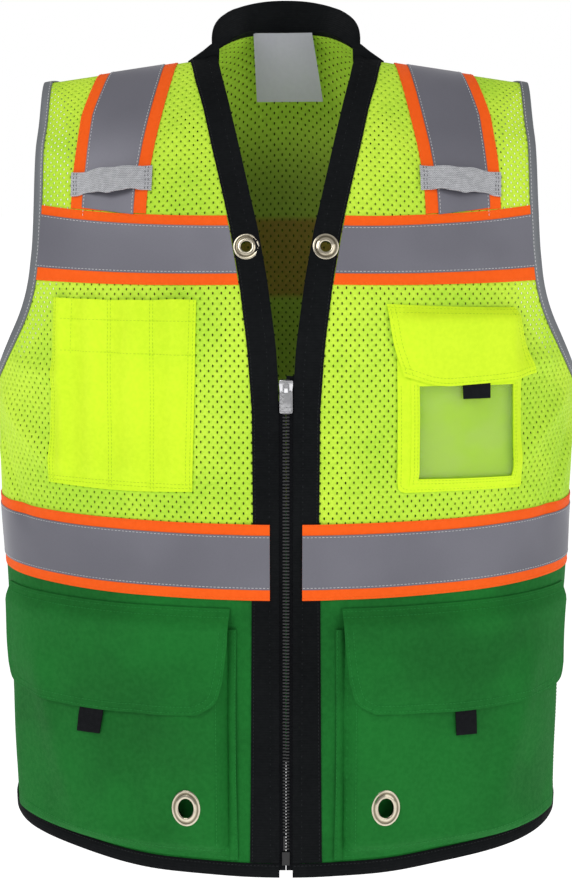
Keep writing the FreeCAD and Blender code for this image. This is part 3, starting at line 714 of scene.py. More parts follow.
@dataclass(frozen=True)
class Textile:
    """One cloth finish."""

    name: str
    colour: Colour
    deep: Colour
    weave: Weave
    rough: float = 0.8
    relief: float = 0.00012
    mottle: float = 0.35
    sheen: float = 0.0
    contrast: float = 0.15
    gloss: float = 0.25
    # shadow: painted shade for a cloth's inner face: the colour at the bottom, the colour of a brown strip painted at
    # the back tapes' height, the height above which there is no painted shade, and the height below which it is full
    shadow: tuple[Colour, Colour, float, float] | None = None

    def build(self) -> Material:
        """Make the material."""
        b = NodeBench(self.name)
        flat = b.pattern()
        u, v, _ = b.split(flat)
        place = b.place()
        across, up = self.weave.value
        cloud = b.noise(place, 9.0, 4.0).span(0.32, 0.7)
        fine = b.noise(place, 260.0, 2.0)
        if self.weave is Weave.TWILL:
            rows = (u * across + v * up).fract()
            thread = (rows - 0.5).absolute() * 2.0
            cross = ((u * across * 2.0).fract() - 0.5).absolute()
            height = thread * 0.8 + cross * 0.4
        elif self.weave is Weave.RIBBED:
            rib = ((v * up).fract() - 0.5).absolute() * 2.0
            fibre = ((u * across).fract() - 0.5).absolute()
            height = rib + fibre * 0.3
        elif self.weave is Weave.WEBBING:
            step = (v * up).fract()
            shift = (u * across + step.over(0.5) * 0.5).fract()
            height = ((shift - 0.5).absolute() * 2.0) + ((step - 0.5).absolute() * 1.2)
        else:
            height = ((u * across * 6.2832).sin() * (v * up * 6.2832).sin()) * 0.5 + 0.5
        shade = cloud * self.mottle + fine.span(0.3, 0.7) * 0.18
        dip = height.span(0.0, 1.0, self.contrast, 0.0)
        tone = b.mix(shade + dip, self.colour, self.deep)
        # painted shade: darker towards the bottom by object height, and a brown strip painted at the back tapes'
        # height, standing for their backing in shade seen through the mesh
        if self.shadow:
            dark, band, high, low = self.shadow
            z = b.split(place)[2]
            tone = b.mix(z.span(low, high, 0.0, 1.0), dark, tone)
            strip = z.span(-0.226, -0.218) * z.span(-0.15, -0.142, 1.0, 0.0)
            tone = b.mix(strip, tone, band)
        b.set(Base_Color=tone, Roughness=fine.span(0.2, 0.8, self.rough - 0.08, self.rough + 0.06),
              Sheen_Weight=self.sheen, Sheen_Roughness=0.5, Specular_IOR_Level=self.gloss)
        b.bump(height + fine * 0.5, self.relief)
        return b.material


@dataclass(frozen=True)
class Reflective:
    """Silver retroreflective tape with its pressed grain."""

    name: str
    colour: Colour
    deep: Colour
    rough: float = 0.42
    metal: float = 0.25

    def build(self) -> Material:
        """Make the material."""
        b = NodeBench(self.name)
        place = b.place()
        cloud = b.noise(place, 7.0, 3.0, 0.45).span(0.35, 0.68)
        grain = b.noise(place, 900.0, 2.0)
        streak = b.noise(place, 60.0, 4.0).span(0.45, 0.75)
        b.set(Base_Color=b.mix(cloud * 0.7 + grain.span(0.35, 0.7) * 0.15, self.colour, self.deep),
              Roughness=cloud.span(0.0, 1.0, self.rough - 0.04, self.rough + 0.08), Metallic=self.metal)
        b.bump(grain * 0.6 + streak * 0.4, 0.00008)
        return b.material


@dataclass(frozen=True)
class Metal:
    """Plated metal with light handling marks."""

    name: str
    colour: Colour
    deep: Colour
    rough: float = 0.16
    relief: float = 0.00002
    grain: float = 900.0
    # groove: paint shade along the recesses of the turned profile
    groove: bool = False

    def build(self) -> Material:
        """Make the material; a grooved metal gets painted shade along the recesses of its turned profile."""
        b = NodeBench(self.name)
        place = b.place()
        smear = b.noise(place, 120.0, 4.0).span(0.4, 0.75)
        scratch = b.noise(place, self.grain, 2.0)
        hollow: Sig | Number = 0.0
        if self.groove:
            hollow = b.node("ShaderNodeUVMap", {"uv_map": "hollow"})
            hollow = b.split(hollow)[0].span(0.0, 1.0)
        b.set(Base_Color=b.mix(smear * 0.3 + hollow, self.colour, self.deep), Metallic=1.0,
              Roughness=smear.span(0.0, 1.0, self.rough, self.rough + 0.12))
        b.bump(scratch, self.relief)
        return b.material


@dataclass(frozen=True)
class Moulded:
    """Plain moulded or film plastic."""

    name: str
    colour: Colour
    rough: float = 0.45
    alpha: float = 1.0
    coat: float = 0.0

    def build(self) -> Material:
        """Make the material."""
        b = NodeBench(self.name)
        grain = b.noise(b.place(), 300.0, 3.0)
        soft = b.noise(b.place(), 22.0, 3.0).span(0.3, 0.7)
        dim = tuple(c * 0.75 for c in self.colour)
        b.set(Base_Color=b.mix(soft * 0.5, self.colour, dim),
              Roughness=grain.span(0.2, 0.8, self.rough - 0.05, self.rough + 0.07), Coat_Weight=self.coat)
        if self.alpha < 1.0:
            b.set(Alpha=soft.span(0.0, 1.0, self.alpha, self.alpha + 0.08))
        b.bump(soft * 0.6 + grain * 0.1, 0.0004 if self.alpha < 1.0 else 0.00005)
        return b.material


class Wardrobe:
    """Every finish of the vest, made once."""

    def __init__(self) -> None:
        """Build the materials."""
        lime_deep = (0.35, 0.68, 0.03)
        self.mesh = Textile("lime_mesh", (0.68, 0.97, 0.06), lime_deep, Weave.KNIT, 0.75, 0.00016, 0.5).build()
        # back's mesh: a slightly darker copy of the front's mesh, painted shade
        self.mesh_back_shaded = Textile("lime_mesh_back", (0.62, 0.92, 0.05), lime_deep, Weave.KNIT, 0.75, 0.00016,
                                 0.4).build()
        # inside of the back's mesh: a shaded copy of the mesh, with painted shade darker towards the waist and a
        # painted brown strip at the tapes' height
        self.mesh_inside_shaded = Textile("lime_mesh_inside", (0.62, 0.95, 0.08), (0.42, 0.72, 0.05), Weave.KNIT, 0.8, 0.00016,
                                   0.4, gloss=0.1, shadow=((0.2, 0.27, 0.04), (0.2, 0.135, 0.03), 0.02, -0.13)).build()
        self.lime = Textile("lime_cloth", (0.74, 1.0, 0.02), (0.5, 0.82, 0.01), Weave.TWILL, 0.7, 0.0001, 0.25).build()
        # lime behind the card window: a darker copy of the lime cloth, painted shade inside the pocket
        self.lime_backing_shaded = Textile("lime_backing_shaded", (0.42, 0.72, 0.02), (0.3, 0.55, 0.02), Weave.TWILL, 0.75, 0.0001,
                                   0.3).build()
        # dark sheets for inside the back's mesh: painted shade seen through its holes
        self.shade = Textile("mesh_shade", (0.035, 0.055, 0.004), (0.02, 0.035, 0.003), Weave.KNIT, 0.9, 0.00005,
                             0.4).build()
        self.green = Textile("green_cloth", (0.009, 0.185, 0.024), (0.005, 0.095, 0.013), Weave.TWILL, 0.8, 0.00014, 0.55,
                             gloss=0.18).build()
        self.orange = Textile("orange_tape", (1.0, 0.125, 0.004), (0.85, 0.085, 0.003), Weave.TWILL, 0.7, 0.00008, 0.25,
                              gloss=0.2).build()
        self.silver = Reflective("silver_tape", (0.17, 0.168, 0.2), (0.125, 0.124, 0.15)).build()
        self.black = Textile("black_knit", (0.0075, 0.0085, 0.0095), (0.003, 0.0035, 0.004), Weave.RIBBED, 0.85, 0.00018, 0.5,
                             gloss=0.06).build()
        self.black_plain = Textile("black_webbing", (0.009, 0.01, 0.012), (0.004, 0.004, 0.005), Weave.WEBBING, 0.8, 0.00016,
                                   0.5, gloss=0.08).build()
        self.grey_binding = Reflective("grey_binding", (0.17, 0.18, 0.195), (0.12, 0.13, 0.14), 0.5, 0.15).build()
        self.webbing = Textile("grey_webbing", (0.66, 0.665, 0.69), (0.14, 0.145, 0.16), Weave.WEBBING, 0.8, 0.0004, 0.25,
                               contrast=0.75).build()
        self.label = Textile("label_satin", (0.46, 0.46, 0.52), (0.38, 0.38, 0.43), Weave.SATIN, 0.5, 0.00003, 0.3).build()
        # eyelets: painted shade in the recesses of their turned profile
        self.eyelet = Metal("eyelet_nickel", (0.66, 0.6, 0.47), (0.22, 0.19, 0.13), 0.14, groove=True).build()
        self.chrome = Metal("slider_chrome", (0.82, 0.82, 0.84), (0.5, 0.5, 0.52), 0.1).build()
        self.chrome_tab = Metal("pull_chrome", (0.44, 0.44, 0.45), (0.1, 0.1, 0.11), 0.24, 0.0004, 420.0).build()
        self.zip_black = Moulded("zip_plastic", (0.012, 0.012, 0.013), 0.35).build()
        self.vinyl = Moulded("window_vinyl", (0.7, 0.86, 0.3), 0.1, 0.07, 0.5).build()
        self.threads = {name: Textile(name + "_thread", colour, deep, Weave.SATIN, 0.7, 0.00002).build()
                        for name, colour, deep in (("white", (0.75, 0.75, 0.75), (0.5, 0.5, 0.52)),
                                                   ("lime", (0.5, 0.76, 0.02), (0.36, 0.6, 0.015)),
                                                   ("green", (0.02, 0.26, 0.045), (0.01, 0.16, 0.03)),
                                                   ("black", (0.02, 0.022, 0.025), (0.01, 0.011, 0.012)),
                                                   ("orange", (1.0, 0.2, 0.02), (0.8, 0.1, 0.005)))}


# ------------------------------------------------------------------ fitting out
@dataclass(frozen=True)
class Carry:
    """How a piece follows the frame's bodies."""

    body: str
    shoulder: str | None = None
    seam: float = 0.0

    def attach(self, obj: Obj) -> None:
        """Ride the body; a piece shared by the back and a front, at the side seam or the shoulder, is only baked in
        place.
        """
        if self.shoulder is None:
            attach(obj, self.body)
        elif self.seam:
            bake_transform(obj)
        else:
            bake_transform(obj)


def dress(obj: Obj, material: Material, carry: Carry, nodes: Sequence[str] = ()) -> Obj:
    """Give a finished piece its material and its place in the frame, on its body where it rides one.

    Args:
        obj: the piece.
        material: its finish.
        carry: the body it rides, or none for a piece baked in place between two bodies.
        nodes: CAD nodes that it stands for.

    Returns:
        The same piece.
    """
    if len(obj.data.materials) < 2:
        obj.data.materials.clear()
        obj.data.materials.append(material)
    carry.attach(obj)
    if nodes:
        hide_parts(*nodes)
    LOG.info("%s: %d faces", obj.name, len(obj.data.polygons))
    return obj


class Repeater:
    """A Geometry Nodes tree that is built, run once and baked to plain mesh."""

    def __init__(self, name: str) -> None:
        """Start a tree with a geometry in and out."""
        self.tree = bpy.data.node_groups.new(name, "GeometryNodeTree")
        self.tree.interface.new_socket("Geometry", in_out="INPUT", socket_type="NodeSocketGeometry")
        self.tree.interface.new_socket("Geometry", in_out="OUTPUT", socket_type="NodeSocketGeometry")
        self.source = self.tree.nodes.new("NodeGroupInput")
        self.sink = self.tree.nodes.new("NodeGroupOutput")
        self.ids: dict[str, str] = {}

    def input(self, name: str, kind: str = "NodeSocketFloat") -> Socket:
        """Add a named input and return its socket inside the tree."""
        item = self.tree.interface.new_socket(name, in_out="INPUT", socket_type=kind)
        self.ids[name] = item.identifier
        return next(s for s in self.source.outputs if s.identifier == item.identifier)

    def add(self, kind: str, settings: dict | None = None, links: dict | None = None) -> bpy.types.Node:
        """Add a node, set it up and link or fill its inputs."""
        made = self.tree.nodes.new(kind)
        for key, value in (settings or {}).items():
            setattr(made, key, value)
        for key, value in (links or {}).items():
            if isinstance(value, Socket):
                self.tree.links.new(value, made.inputs[key])
            else:
                made.inputs[key].default_value = value
        return made

    def maths(self, operation: str, a: object, b: object) -> Socket:
        """Add a Math node and return its result."""
        return self.add("ShaderNodeMath", {"operation": operation}, {0: a, 1: b}).outputs[0]

    def vectors(self, operation: str, a: object, b: object) -> Socket:
        """Add a Vector Math node and return its result."""
        return self.add("ShaderNodeVectorMath", {"operation": operation}, {0: a, 1: b}).outputs[0]

    def strung(self, bead: Socket, pitch: Socket, primary: str) -> Socket:
        """Set one bead at every step along the source's lines, turned by their tangent and the "up" attribute."""
        curve = self.add("GeometryNodeMeshToCurve", None, {"Mesh": self.source.outputs[0]})
        even = self.add("GeometryNodeResampleCurve", {"mode": "LENGTH"}, {"Curve": curve.outputs[0], "Length": pitch})
        tangent = self.add("GeometryNodeInputTangent")
        up = self.add("GeometryNodeInputNamedAttribute", {"data_type": "FLOAT_VECTOR"}, {"Name": "up"})
        turn = self.add("FunctionNodeAxesToRotation", {"primary_axis": primary, "secondary_axis": "Z"},
                        {"Primary Axis": tangent.outputs[0], "Secondary Axis": up.outputs[0]})
        return self.add("GeometryNodeInstanceOnPoints", None, {"Points": even.outputs[0], "Instance": bead,
                                                               "Rotation": turn.outputs[0]}).outputs[0]

    def close(self, geometry: Socket, material: Material) -> None:
        """Realize, set the material and finish the tree."""
        real = self.add("GeometryNodeRealizeInstances", None, {"Geometry": geometry})
        done = self.add("GeometryNodeSetMaterial", None, {"Geometry": real.outputs[0], "Material": material})
        self.tree.links.new(done.outputs[0], self.sink.inputs[0])

    def run(self, obj: Obj, name: str, **values: object) -> Obj:
        """Evaluate the tree on an object.

        Args:
            obj: object that carries the source geometry; it is removed.
            name: name of the new plain mesh object.
            **values: input values by name, underscores for spaces.

        Returns:
            A new object with the plain mesh.
        """
        modifier = obj.modifiers.new("repeat", "NODES")
        modifier.node_group = self.tree
        for key, value in values.items():
            modifier[self.ids[key.replace("_", " ")]] = value
        graph = bpy.context.evaluated_depsgraph_get()
        mesh = bpy.data.meshes.new_from_object(obj.evaluated_get(graph))
        obj.modifiers.clear()
        source = obj.data
        bpy.data.objects.remove(obj)
        bpy.data.meshes.remove(source)
        made = bpy.data.objects.new(name, mesh)
        mesh.name = name
        bpy.context.scene.collection.objects.link(made)
        return made


# ----------------------------------------------------- repeats by Geometry Nodes
class Perforator:
    """Knitted mesh with staggered slit holes, laid over a panel's surface."""

    cell = 7.3 * MM
    row = 4.4 * MM
    slit = (0.19, 0.47)
    wall = 0.8 * MM

    def __init__(self) -> None:
        """Build the tree: lattice, hexagons, slits, then on to the panel."""
        r = Repeater("perforated_mesh")
        ids = {n: r.input(n, k) for n, k in (
            ("Cell", "NodeSocketFloat"), ("Row", "NodeSocketFloat"), ("Columns", "NodeSocketInt"),
            ("Rows", "NodeSocketInt"), ("Centre", "NodeSocketVector"), ("Slit", "NodeSocketVector"),
            ("Lowest", "NodeSocketFloat"), ("Highest", "NodeSocketFloat"),
            ("Cloth", "NodeSocketMaterial"))}
        wide = r.maths("MULTIPLY", ids["Cell"], ids["Columns"])
        tall = r.maths("MULTIPLY", ids["Row"], ids["Rows"])
        across, up = r.maths("ADD", ids["Columns"], 1.0), r.maths("ADD", ids["Rows"], 1.0)
        grid = r.add("GeometryNodeMeshGrid", None, {"Size X": wide, "Size Y": tall, "Vertices X": across,
                                                    "Vertices Y": up})
        index = r.add("GeometryNodeInputIndex")
        odd = r.maths("FLOORED_MODULO", r.maths("FLOORED_MODULO", index.outputs[0], up), 2.0)
        half = r.maths("MULTIPLY", r.maths("MULTIPLY", odd, ids["Cell"]), 0.5)
        shift = r.add("ShaderNodeCombineXYZ", None, {"X": half})
        brick = r.add("GeometryNodeSetPosition", None, {"Geometry": grid.outputs[0], "Offset": shift.outputs[0]})
        tri = r.add("GeometryNodeTriangulate", {"quad_method": "SHORTEST_DIAGONAL"}, {"Mesh": brick.outputs[0]})
        hexes = r.add("GeometryNodeDualMesh", None, {"Mesh": tri.outputs[0]})
        moved = r.add("GeometryNodeSetPosition", None, {"Geometry": hexes.outputs[0], "Offset": ids["Centre"]})
        place = r.add("GeometryNodeInputPosition")
        keep = r.add("GeometryNodeCaptureAttribute", {"domain": "FACE"}, {"Geometry": moved.outputs[0]})
        keep.capture_items.new("VECTOR", "centre")
        r.tree.links.new(place.outputs[0], keep.inputs[1])
        high = r.add("ShaderNodeSeparateXYZ", None, {0: keep.outputs[1]})
        either = r.maths("ADD", r.maths("LESS_THAN", high.outputs["Y"], ids["Lowest"]),
                         r.maths("GREATER_THAN", high.outputs["Y"], ids["Highest"]))
        ours = r.add("GeometryNodeDeleteGeometry", {"domain": "FACE"}, {"Geometry": keep.outputs[0],
                                                                       "Selection": either})
        lift = r.add("GeometryNodeExtrudeMesh", {"mode": "FACES"}, {"Mesh": ours.outputs[0], "Offset Scale": 0.0,
                                                                   "Individual": True})
        away = r.vectors("SUBTRACT", place.outputs[0], keep.outputs[1])
        back = r.vectors("ADD", r.vectors("MULTIPLY", away, ids["Slit"]), keep.outputs[1])
        slit = r.add("GeometryNodeSetPosition", None, {"Geometry": lift.outputs["Mesh"],
                                                       "Selection": lift.outputs["Top"], "Position": back})
        holes = r.add("GeometryNodeDeleteGeometry", {"domain": "FACE"}, {"Geometry": slit.outputs[0],
                                                                        "Selection": lift.outputs["Top"]})
        named = r.add("GeometryNodeInputNamedAttribute", {"data_type": "FLOAT_VECTOR"}, {"Name": "pattern"})
        on = r.add("GeometryNodeSampleUVSurface", {"data_type": "FLOAT_VECTOR"},
                   {"Mesh": r.source.outputs[0], "Value": place.outputs[0], "UV Map": named.outputs[0],
                    "Sample UV": place.outputs[0]})
        flat = r.add("GeometryNodeStoreNamedAttribute", {"data_type": "FLOAT2", "domain": "CORNER"},
                     {"Geometry": holes.outputs[0], "Name": "pattern", "Value": place.outputs[0]})
        off = r.add("FunctionNodeBooleanMath", {"operation": "NOT"}, {0: on.outputs["Is Valid"]})
        trim = r.add("GeometryNodeCaptureAttribute", {"domain": "POINT"}, {"Geometry": flat.outputs[0]})
        trim.capture_items.new("BOOLEAN", "off")
        r.tree.links.new(off.outputs[0], trim.inputs[1])
        laid = r.add("GeometryNodeSetPosition", None, {"Geometry": trim.outputs[0], "Position": on.outputs["Value"]})
        done = r.add("GeometryNodeDeleteGeometry", {"domain": "POINT"}, {"Geometry": laid.outputs[0],
                                                                        "Selection": trim.outputs[1]})
        smooth = r.add("GeometryNodeSetShadeSmooth", None, {"Geometry": done.outputs[0]})
        r.close(smooth.outputs[0], ids["Cloth"])
        self.repeater = r

    def panel(self, name: str, skin: Skin, loop: Points, cloth: Material, off: Height = 0.5,
              holes: Sequence[Points] = (), reach: tuple[float, float] = (-1000.0, 1000.0),
              inner: Material | None = None) -> Obj:
        """Perforated panel inside a pattern outline.

        Args:
            name: piece name.
            skin: half of the garment.
            loop: outline in pattern mm.
            cloth: finish.
            off: height of the panel's middle.
            holes: cut-outs.
            reach: lowest and highest slit kept, in pattern mm, so that two panels meet on one lattice.
            inner: finish of the face towards the wearer, where it differs; on the back, a finish with painted shade.

        Returns:
            The closed, thick, perforated panel.
        """
        pts, tris = fill(loop, holes, 5.0)
        if skin.half is Half.BACK:
            tris = tris[:, ::-1]
        base = new_object(name + "_surface", skin.at(pts[:, 0], pts[:, 1], off), tris)
        set_uv(base, pts * MM)
        lo, hi = pts.min(0) * MM, pts.max(0) * MM
        mid = np.round((lo + hi) / 2 / (2 * self.cell, 2 * self.row)) * (2 * self.cell, 2 * self.row)
        columns = 2 * int((hi[0] - lo[0]) / self.cell / 2 + 3)
        rows = 4 * int((hi[1] - lo[1]) / self.row / 4 + 3)
        made = self.repeater.run(base, name + "_flat", Cell=self.cell, Row=self.row, Columns=columns, Rows=rows,
                                 Centre=(float(mid[0]), float(mid[1]), 0.0), Slit=(*self.slit, 1.0),
                                 Lowest=reach[0] * MM, Highest=reach[1] * MM, Cloth=cloth)
        if skin.half is Half.BACK:
            made.data.flip_normals()
        return self.thicken(made, name, inner)

    def thicken(self, obj: Obj, name: str, inner: Material | None) -> Obj:
        """Give the perforated sheet its thickness as plain mesh, with its own inner finish, which on the back carries
        painted shade.
        """
        solid = obj.modifiers.new("cloth_thickness", "SOLIDIFY")
        if inner:
            obj.data.materials.append(inner)
            solid.material_offset = 1
        solid.thickness, solid.offset, solid.use_even_offset = self.wall, 0.0, False
        graph = bpy.context.evaluated_depsgraph_get()
        mesh = bpy.data.meshes.new_from_object(obj.evaluated_get(graph))
        old = obj.data
        obj.modifiers.clear()
        obj.data = mesh
        bpy.data.meshes.remove(old)
        obj.name = mesh.name = name
        return obj


class Sewing:
    """Collects seam lines and lays a stitch at every step along them."""

    length, width, height, pitch = 2.5 * MM, 0.55 * MM, 0.42 * MM, 3.3 * MM

    def __init__(self) -> None:
        """Build the tree: lines to curves, even steps, one bead of thread at each."""
        r = Repeater("stitches")
        ids = {n: r.input(n, k) for n, k in (("Pitch", "NodeSocketFloat"), ("Bead", "NodeSocketVector"),
                                             ("Thread", "NodeSocketMaterial"))}
        bead = r.add("GeometryNodeMeshUVSphere", None, {"Segments": 6, "Rings": 3, "Radius": 0.5})
        sized = r.add("GeometryNodeTransform", None, {"Geometry": bead.outputs[0], "Rotation": (0.0, math.pi / 2, 0.0)})
        sized = r.add("GeometryNodeTransform", None, {"Geometry": sized.outputs[0], "Scale": ids["Bead"]})
        laid = r.strung(sized.outputs[0], ids["Pitch"], "X")
        smooth = r.add("GeometryNodeSetShadeSmooth", None, {"Geometry": laid})
        r.close(smooth.outputs[0], ids["Thread"])
        self.repeater = r
        self.lines: dict[tuple[Carry, str], list[tuple[Array, Array]]] = {}

    def add(self, carry: Carry, thread: str, points: Array, ups: Array) -> None:
        """Keep one line of stitches, given in metres."""
        self.lines.setdefault((carry, thread), []).append((points, ups))

    def seam(self, carry: Carry, thread: str, skin: Skin, line: Points, off: Height, side: int = 1) -> None:
        """Keep a line of stitches drawn in pattern space.

        Args:
            carry: bodies that the stitches follow.
            thread: finish name in the wardrobe.
            skin: half of the garment.
            line: pattern points for the wearer's left.
            off: height of the cloth's face.
            side: -1 mirrors it.
        """
        pts = np.array(line, float)
        run = run_of(pts)
        steps = np.linspace(0.0, run[-1], max(2, int(run[-1] / 5.0) + 1))
        p, q = np.interp(steps, run, pts[:, 0]) * side, np.interp(steps, run, pts[:, 1])
        self.add(carry, thread, skin.at(p, q, off), skin.normal(p, q))

    def lay(self, wardrobe: "Wardrobe") -> None:
        """Make every kept line, one piece for each body and thread."""
        count: dict[str, int] = {}
        for (carry, thread), lines in self.lines.items():
            verts, ups, edges, start = [], [], [], 0
            for pts, up in lines:
                verts.append(pts)
                ups.append(up)
                edges += [(start + k, start + k + 1) for k in range(len(pts) - 1)]
                start += len(pts)
            stem = f"{carry.body}{'_shoulder' if carry.shoulder else ''}_{thread}_stitches"
            count[stem] = count.get(stem, 0) + 1
            mesh = bpy.data.meshes.new(stem + "_line")
            mesh.from_pydata([tuple(v) for v in np.vstack(verts)], edges, [])
            mesh.attributes.new("up", "FLOAT_VECTOR", "POINT").data.foreach_set("vector", np.vstack(ups).ravel())
            obj = bpy.data.objects.new(stem + "_line", mesh)
            bpy.context.scene.collection.objects.link(obj)
            name = stem if count[stem] == 1 else f"{stem}_{count[stem]}"
            made = self.repeater.run(obj, name, Pitch=self.pitch, Bead=(self.length, self.width, self.height),
                                     Thread=wardrobe.threads[thread])
            set_uv(made, np.array([v.co[:2] for v in made.data.vertices]))
            dress(made, wardrobe.threads[thread], carry)


class ChainMaker:
    """Lays moulded zip teeth along a line."""

    def __init__(self) -> None:
        """Build the tree: line to curve, even steps, one tooth at each."""
        r = Repeater("zip_teeth")
        ids = {n: r.input(n, k) for n, k in (("Pitch", "NodeSocketFloat"), ("Tooth", "NodeSocketVector"),
                                             ("Plastic", "NodeSocketMaterial"))}
        block = r.add("GeometryNodeMeshCube", None, {"Size": (1.0, 1.0, 1.0)})
        round_ = r.add("GeometryNodeSubdivisionSurface", None, {"Mesh": block.outputs[0], "Level": 1,
                                                               "Edge Crease": 0.55})
        sized = r.add("GeometryNodeTransform", None, {"Geometry": round_.outputs[0], "Scale": ids["Tooth"]})
        r.close(r.strung(sized.outputs[0], ids["Pitch"], "Y"), ids["Plastic"])
        self.repeater = r

    def lay(self, name: str, points: Array, ups: Array, pitch: float, tooth: tuple[float, float, float],
            plastic: Material) -> Obj:
        """Make one row of teeth.

        Args:
            name: piece name.
            points: line in metres.
            ups: outward directions along it.
            pitch: step between teeth.
            tooth: width, length and thickness of a tooth.
            plastic: finish.

        Returns:
            The row as plain mesh.
        """
        mesh = bpy.data.meshes.new(name + "_line")
        mesh.from_pydata([tuple(v) for v in points], [(k, k + 1) for k in range(len(points) - 1)], [])
        mesh.attributes.new("up", "FLOAT_VECTOR", "POINT").data.foreach_set("vector", ups.ravel())
        obj = bpy.data.objects.new(name + "_line", mesh)
        bpy.context.scene.collection.objects.link(obj)
        return self.repeater.run(obj, name, Pitch=pitch, Tooth=tooth, Plastic=plastic)


# ------------------------------------------------------------- pocket outlines
def bag(p0: float, p1: float, q0: float, depth: float, edge: float, top_q: float | None = None,
        top_part: float = 1.0) -> Callable[[Array, Array], Array]:
    """Height rule of a bellied pocket ply.

    Args:
        p0: inner edge.
        p1: outer edge.
        q0: bottom edge.
        depth: belly depth.
        edge: width over which the belly rises.
        top_q: mouth height, where the belly shrinks.
        top_part: part of the depth left at the mouth.

    Returns:
        A rule height(p, q) in mm.
    """
    def height(p: Array, q: Array) -> Array:
        """Height of the ply's underside."""
        a = np.abs(p)
        e = ease((a - p0) / edge) * ease((p1 - a) / edge) * ease((q - q0) / edge)
        f = 1.0 if top_q is None else top_part + (1 - top_part) * ease((top_q - q) / 60.0)
        return 1.35 + depth * e * f
    return height


def raised(rule: Callable[[Array, Array], Array], add: float) -> Callable[[Array, Array], Array]:
    """The same height rule, lifted."""
    return lambda p, q: rule(p, q) + add


def line_width(table: Points, q: Array) -> Array:
    """Width of a landmark line at many heights."""
    pts = sorted((b, a) for a, b in table)
    return np.interp(q, [b for b, _ in pts], [a for _, a in pts])


# ------------------------------------------------------------------- sub-assemblies
@dataclass
class Bench:
    """What every sub-assembly needs: finishes, thread, mesh and chain makers."""

    finishes: Wardrobe
    sewing: Sewing
    perforator: Perforator
    chain: ChainMaker


@dataclass
class Eyelet:
    """Rolled metal eyelet: double ring front and a spread back flange."""

    name: str
    node: str
    carry: Carry
    centre: tuple[float, float]
    hole: float
    rim: float
    low: float
    high: float
    squeeze: float = 1.0

    def build(self, bench: Bench) -> None:
        """Turn the profile round the hole's axis."""
        h, r, a, b = self.hole, self.rim, self.low, self.high
        ring = r - h
        profile = [(h, a - 0.7), (h + 0.5, a - 0.95), (h + 2.0, a - 0.9), (r * 0.86, a - 0.45), (r * 0.86, a - 0.1),
                   (h + 1.0, a), (h + 0.9, b - 0.3), (r - 0.3, b - 0.2), (r, b + 0.05), (r - 0.12, b + 0.45),
                   (r - 0.5, b + 0.72), (r - ring * 0.2, b + 0.78), (r - ring * 0.33, b + 0.5),
                   (r - ring * 0.42, b + 0.45), (r - ring * 0.52, b + 0.75), (r - ring * 0.68, b + 1.3),
                   (r - ring * 0.82, b + 1.42), (h + 0.35, b + 1.15), (h, b + 0.6)]
        p, q = self.centre
        c = FRONT.at(np.array([p]), np.array([q]), 0.0)[0]
        n = FRONT.normal(np.array([p]), np.array([q]))[0]
        x = np.cross([0.0, 0.0, 1.0], n)
        x /= np.linalg.norm(x)
        y = np.cross(n, x)
        count = 48
        rows = []
        for k in range(count + 1):
            t = 2 * math.pi * k / count
            d = math.cos(t) * self.squeeze * x + math.sin(t) * y
            rows.append([c + (d * rad + n * z) * MM for rad, z in profile])
        obj = loft(self.name, np.array(rows), True, False, 60.0)
        # painted shade for each profile point, 1 darkest: under the flange, in the barrel and in the groove between the
        # two rings
        depth = [1.0] * 7 + [0.5, 0.25, 0.0, 0.0, 0.1, 1.0, 1.0, 0.55, 0.0, 0.0, 0.35, 1.0]
        set_uv(obj, np.tile(np.stack([depth, depth], -1), (count + 1, 1)), "hollow")
        obj = fix_outward(weld_turn(obj))
        dress(obj, bench.finishes.eyelet, self.carry, [self.node])


def weld_turn(obj: Obj) -> Obj:
    """Join the first and last sections of a turned piece."""
    mesh = bmesh.new()
    mesh.from_mesh(obj.data)
    bmesh.ops.remove_doubles(mesh, verts=mesh.verts, dist=1e-6)
    mesh.to_mesh(obj.data)
    mesh.free()
    return obj


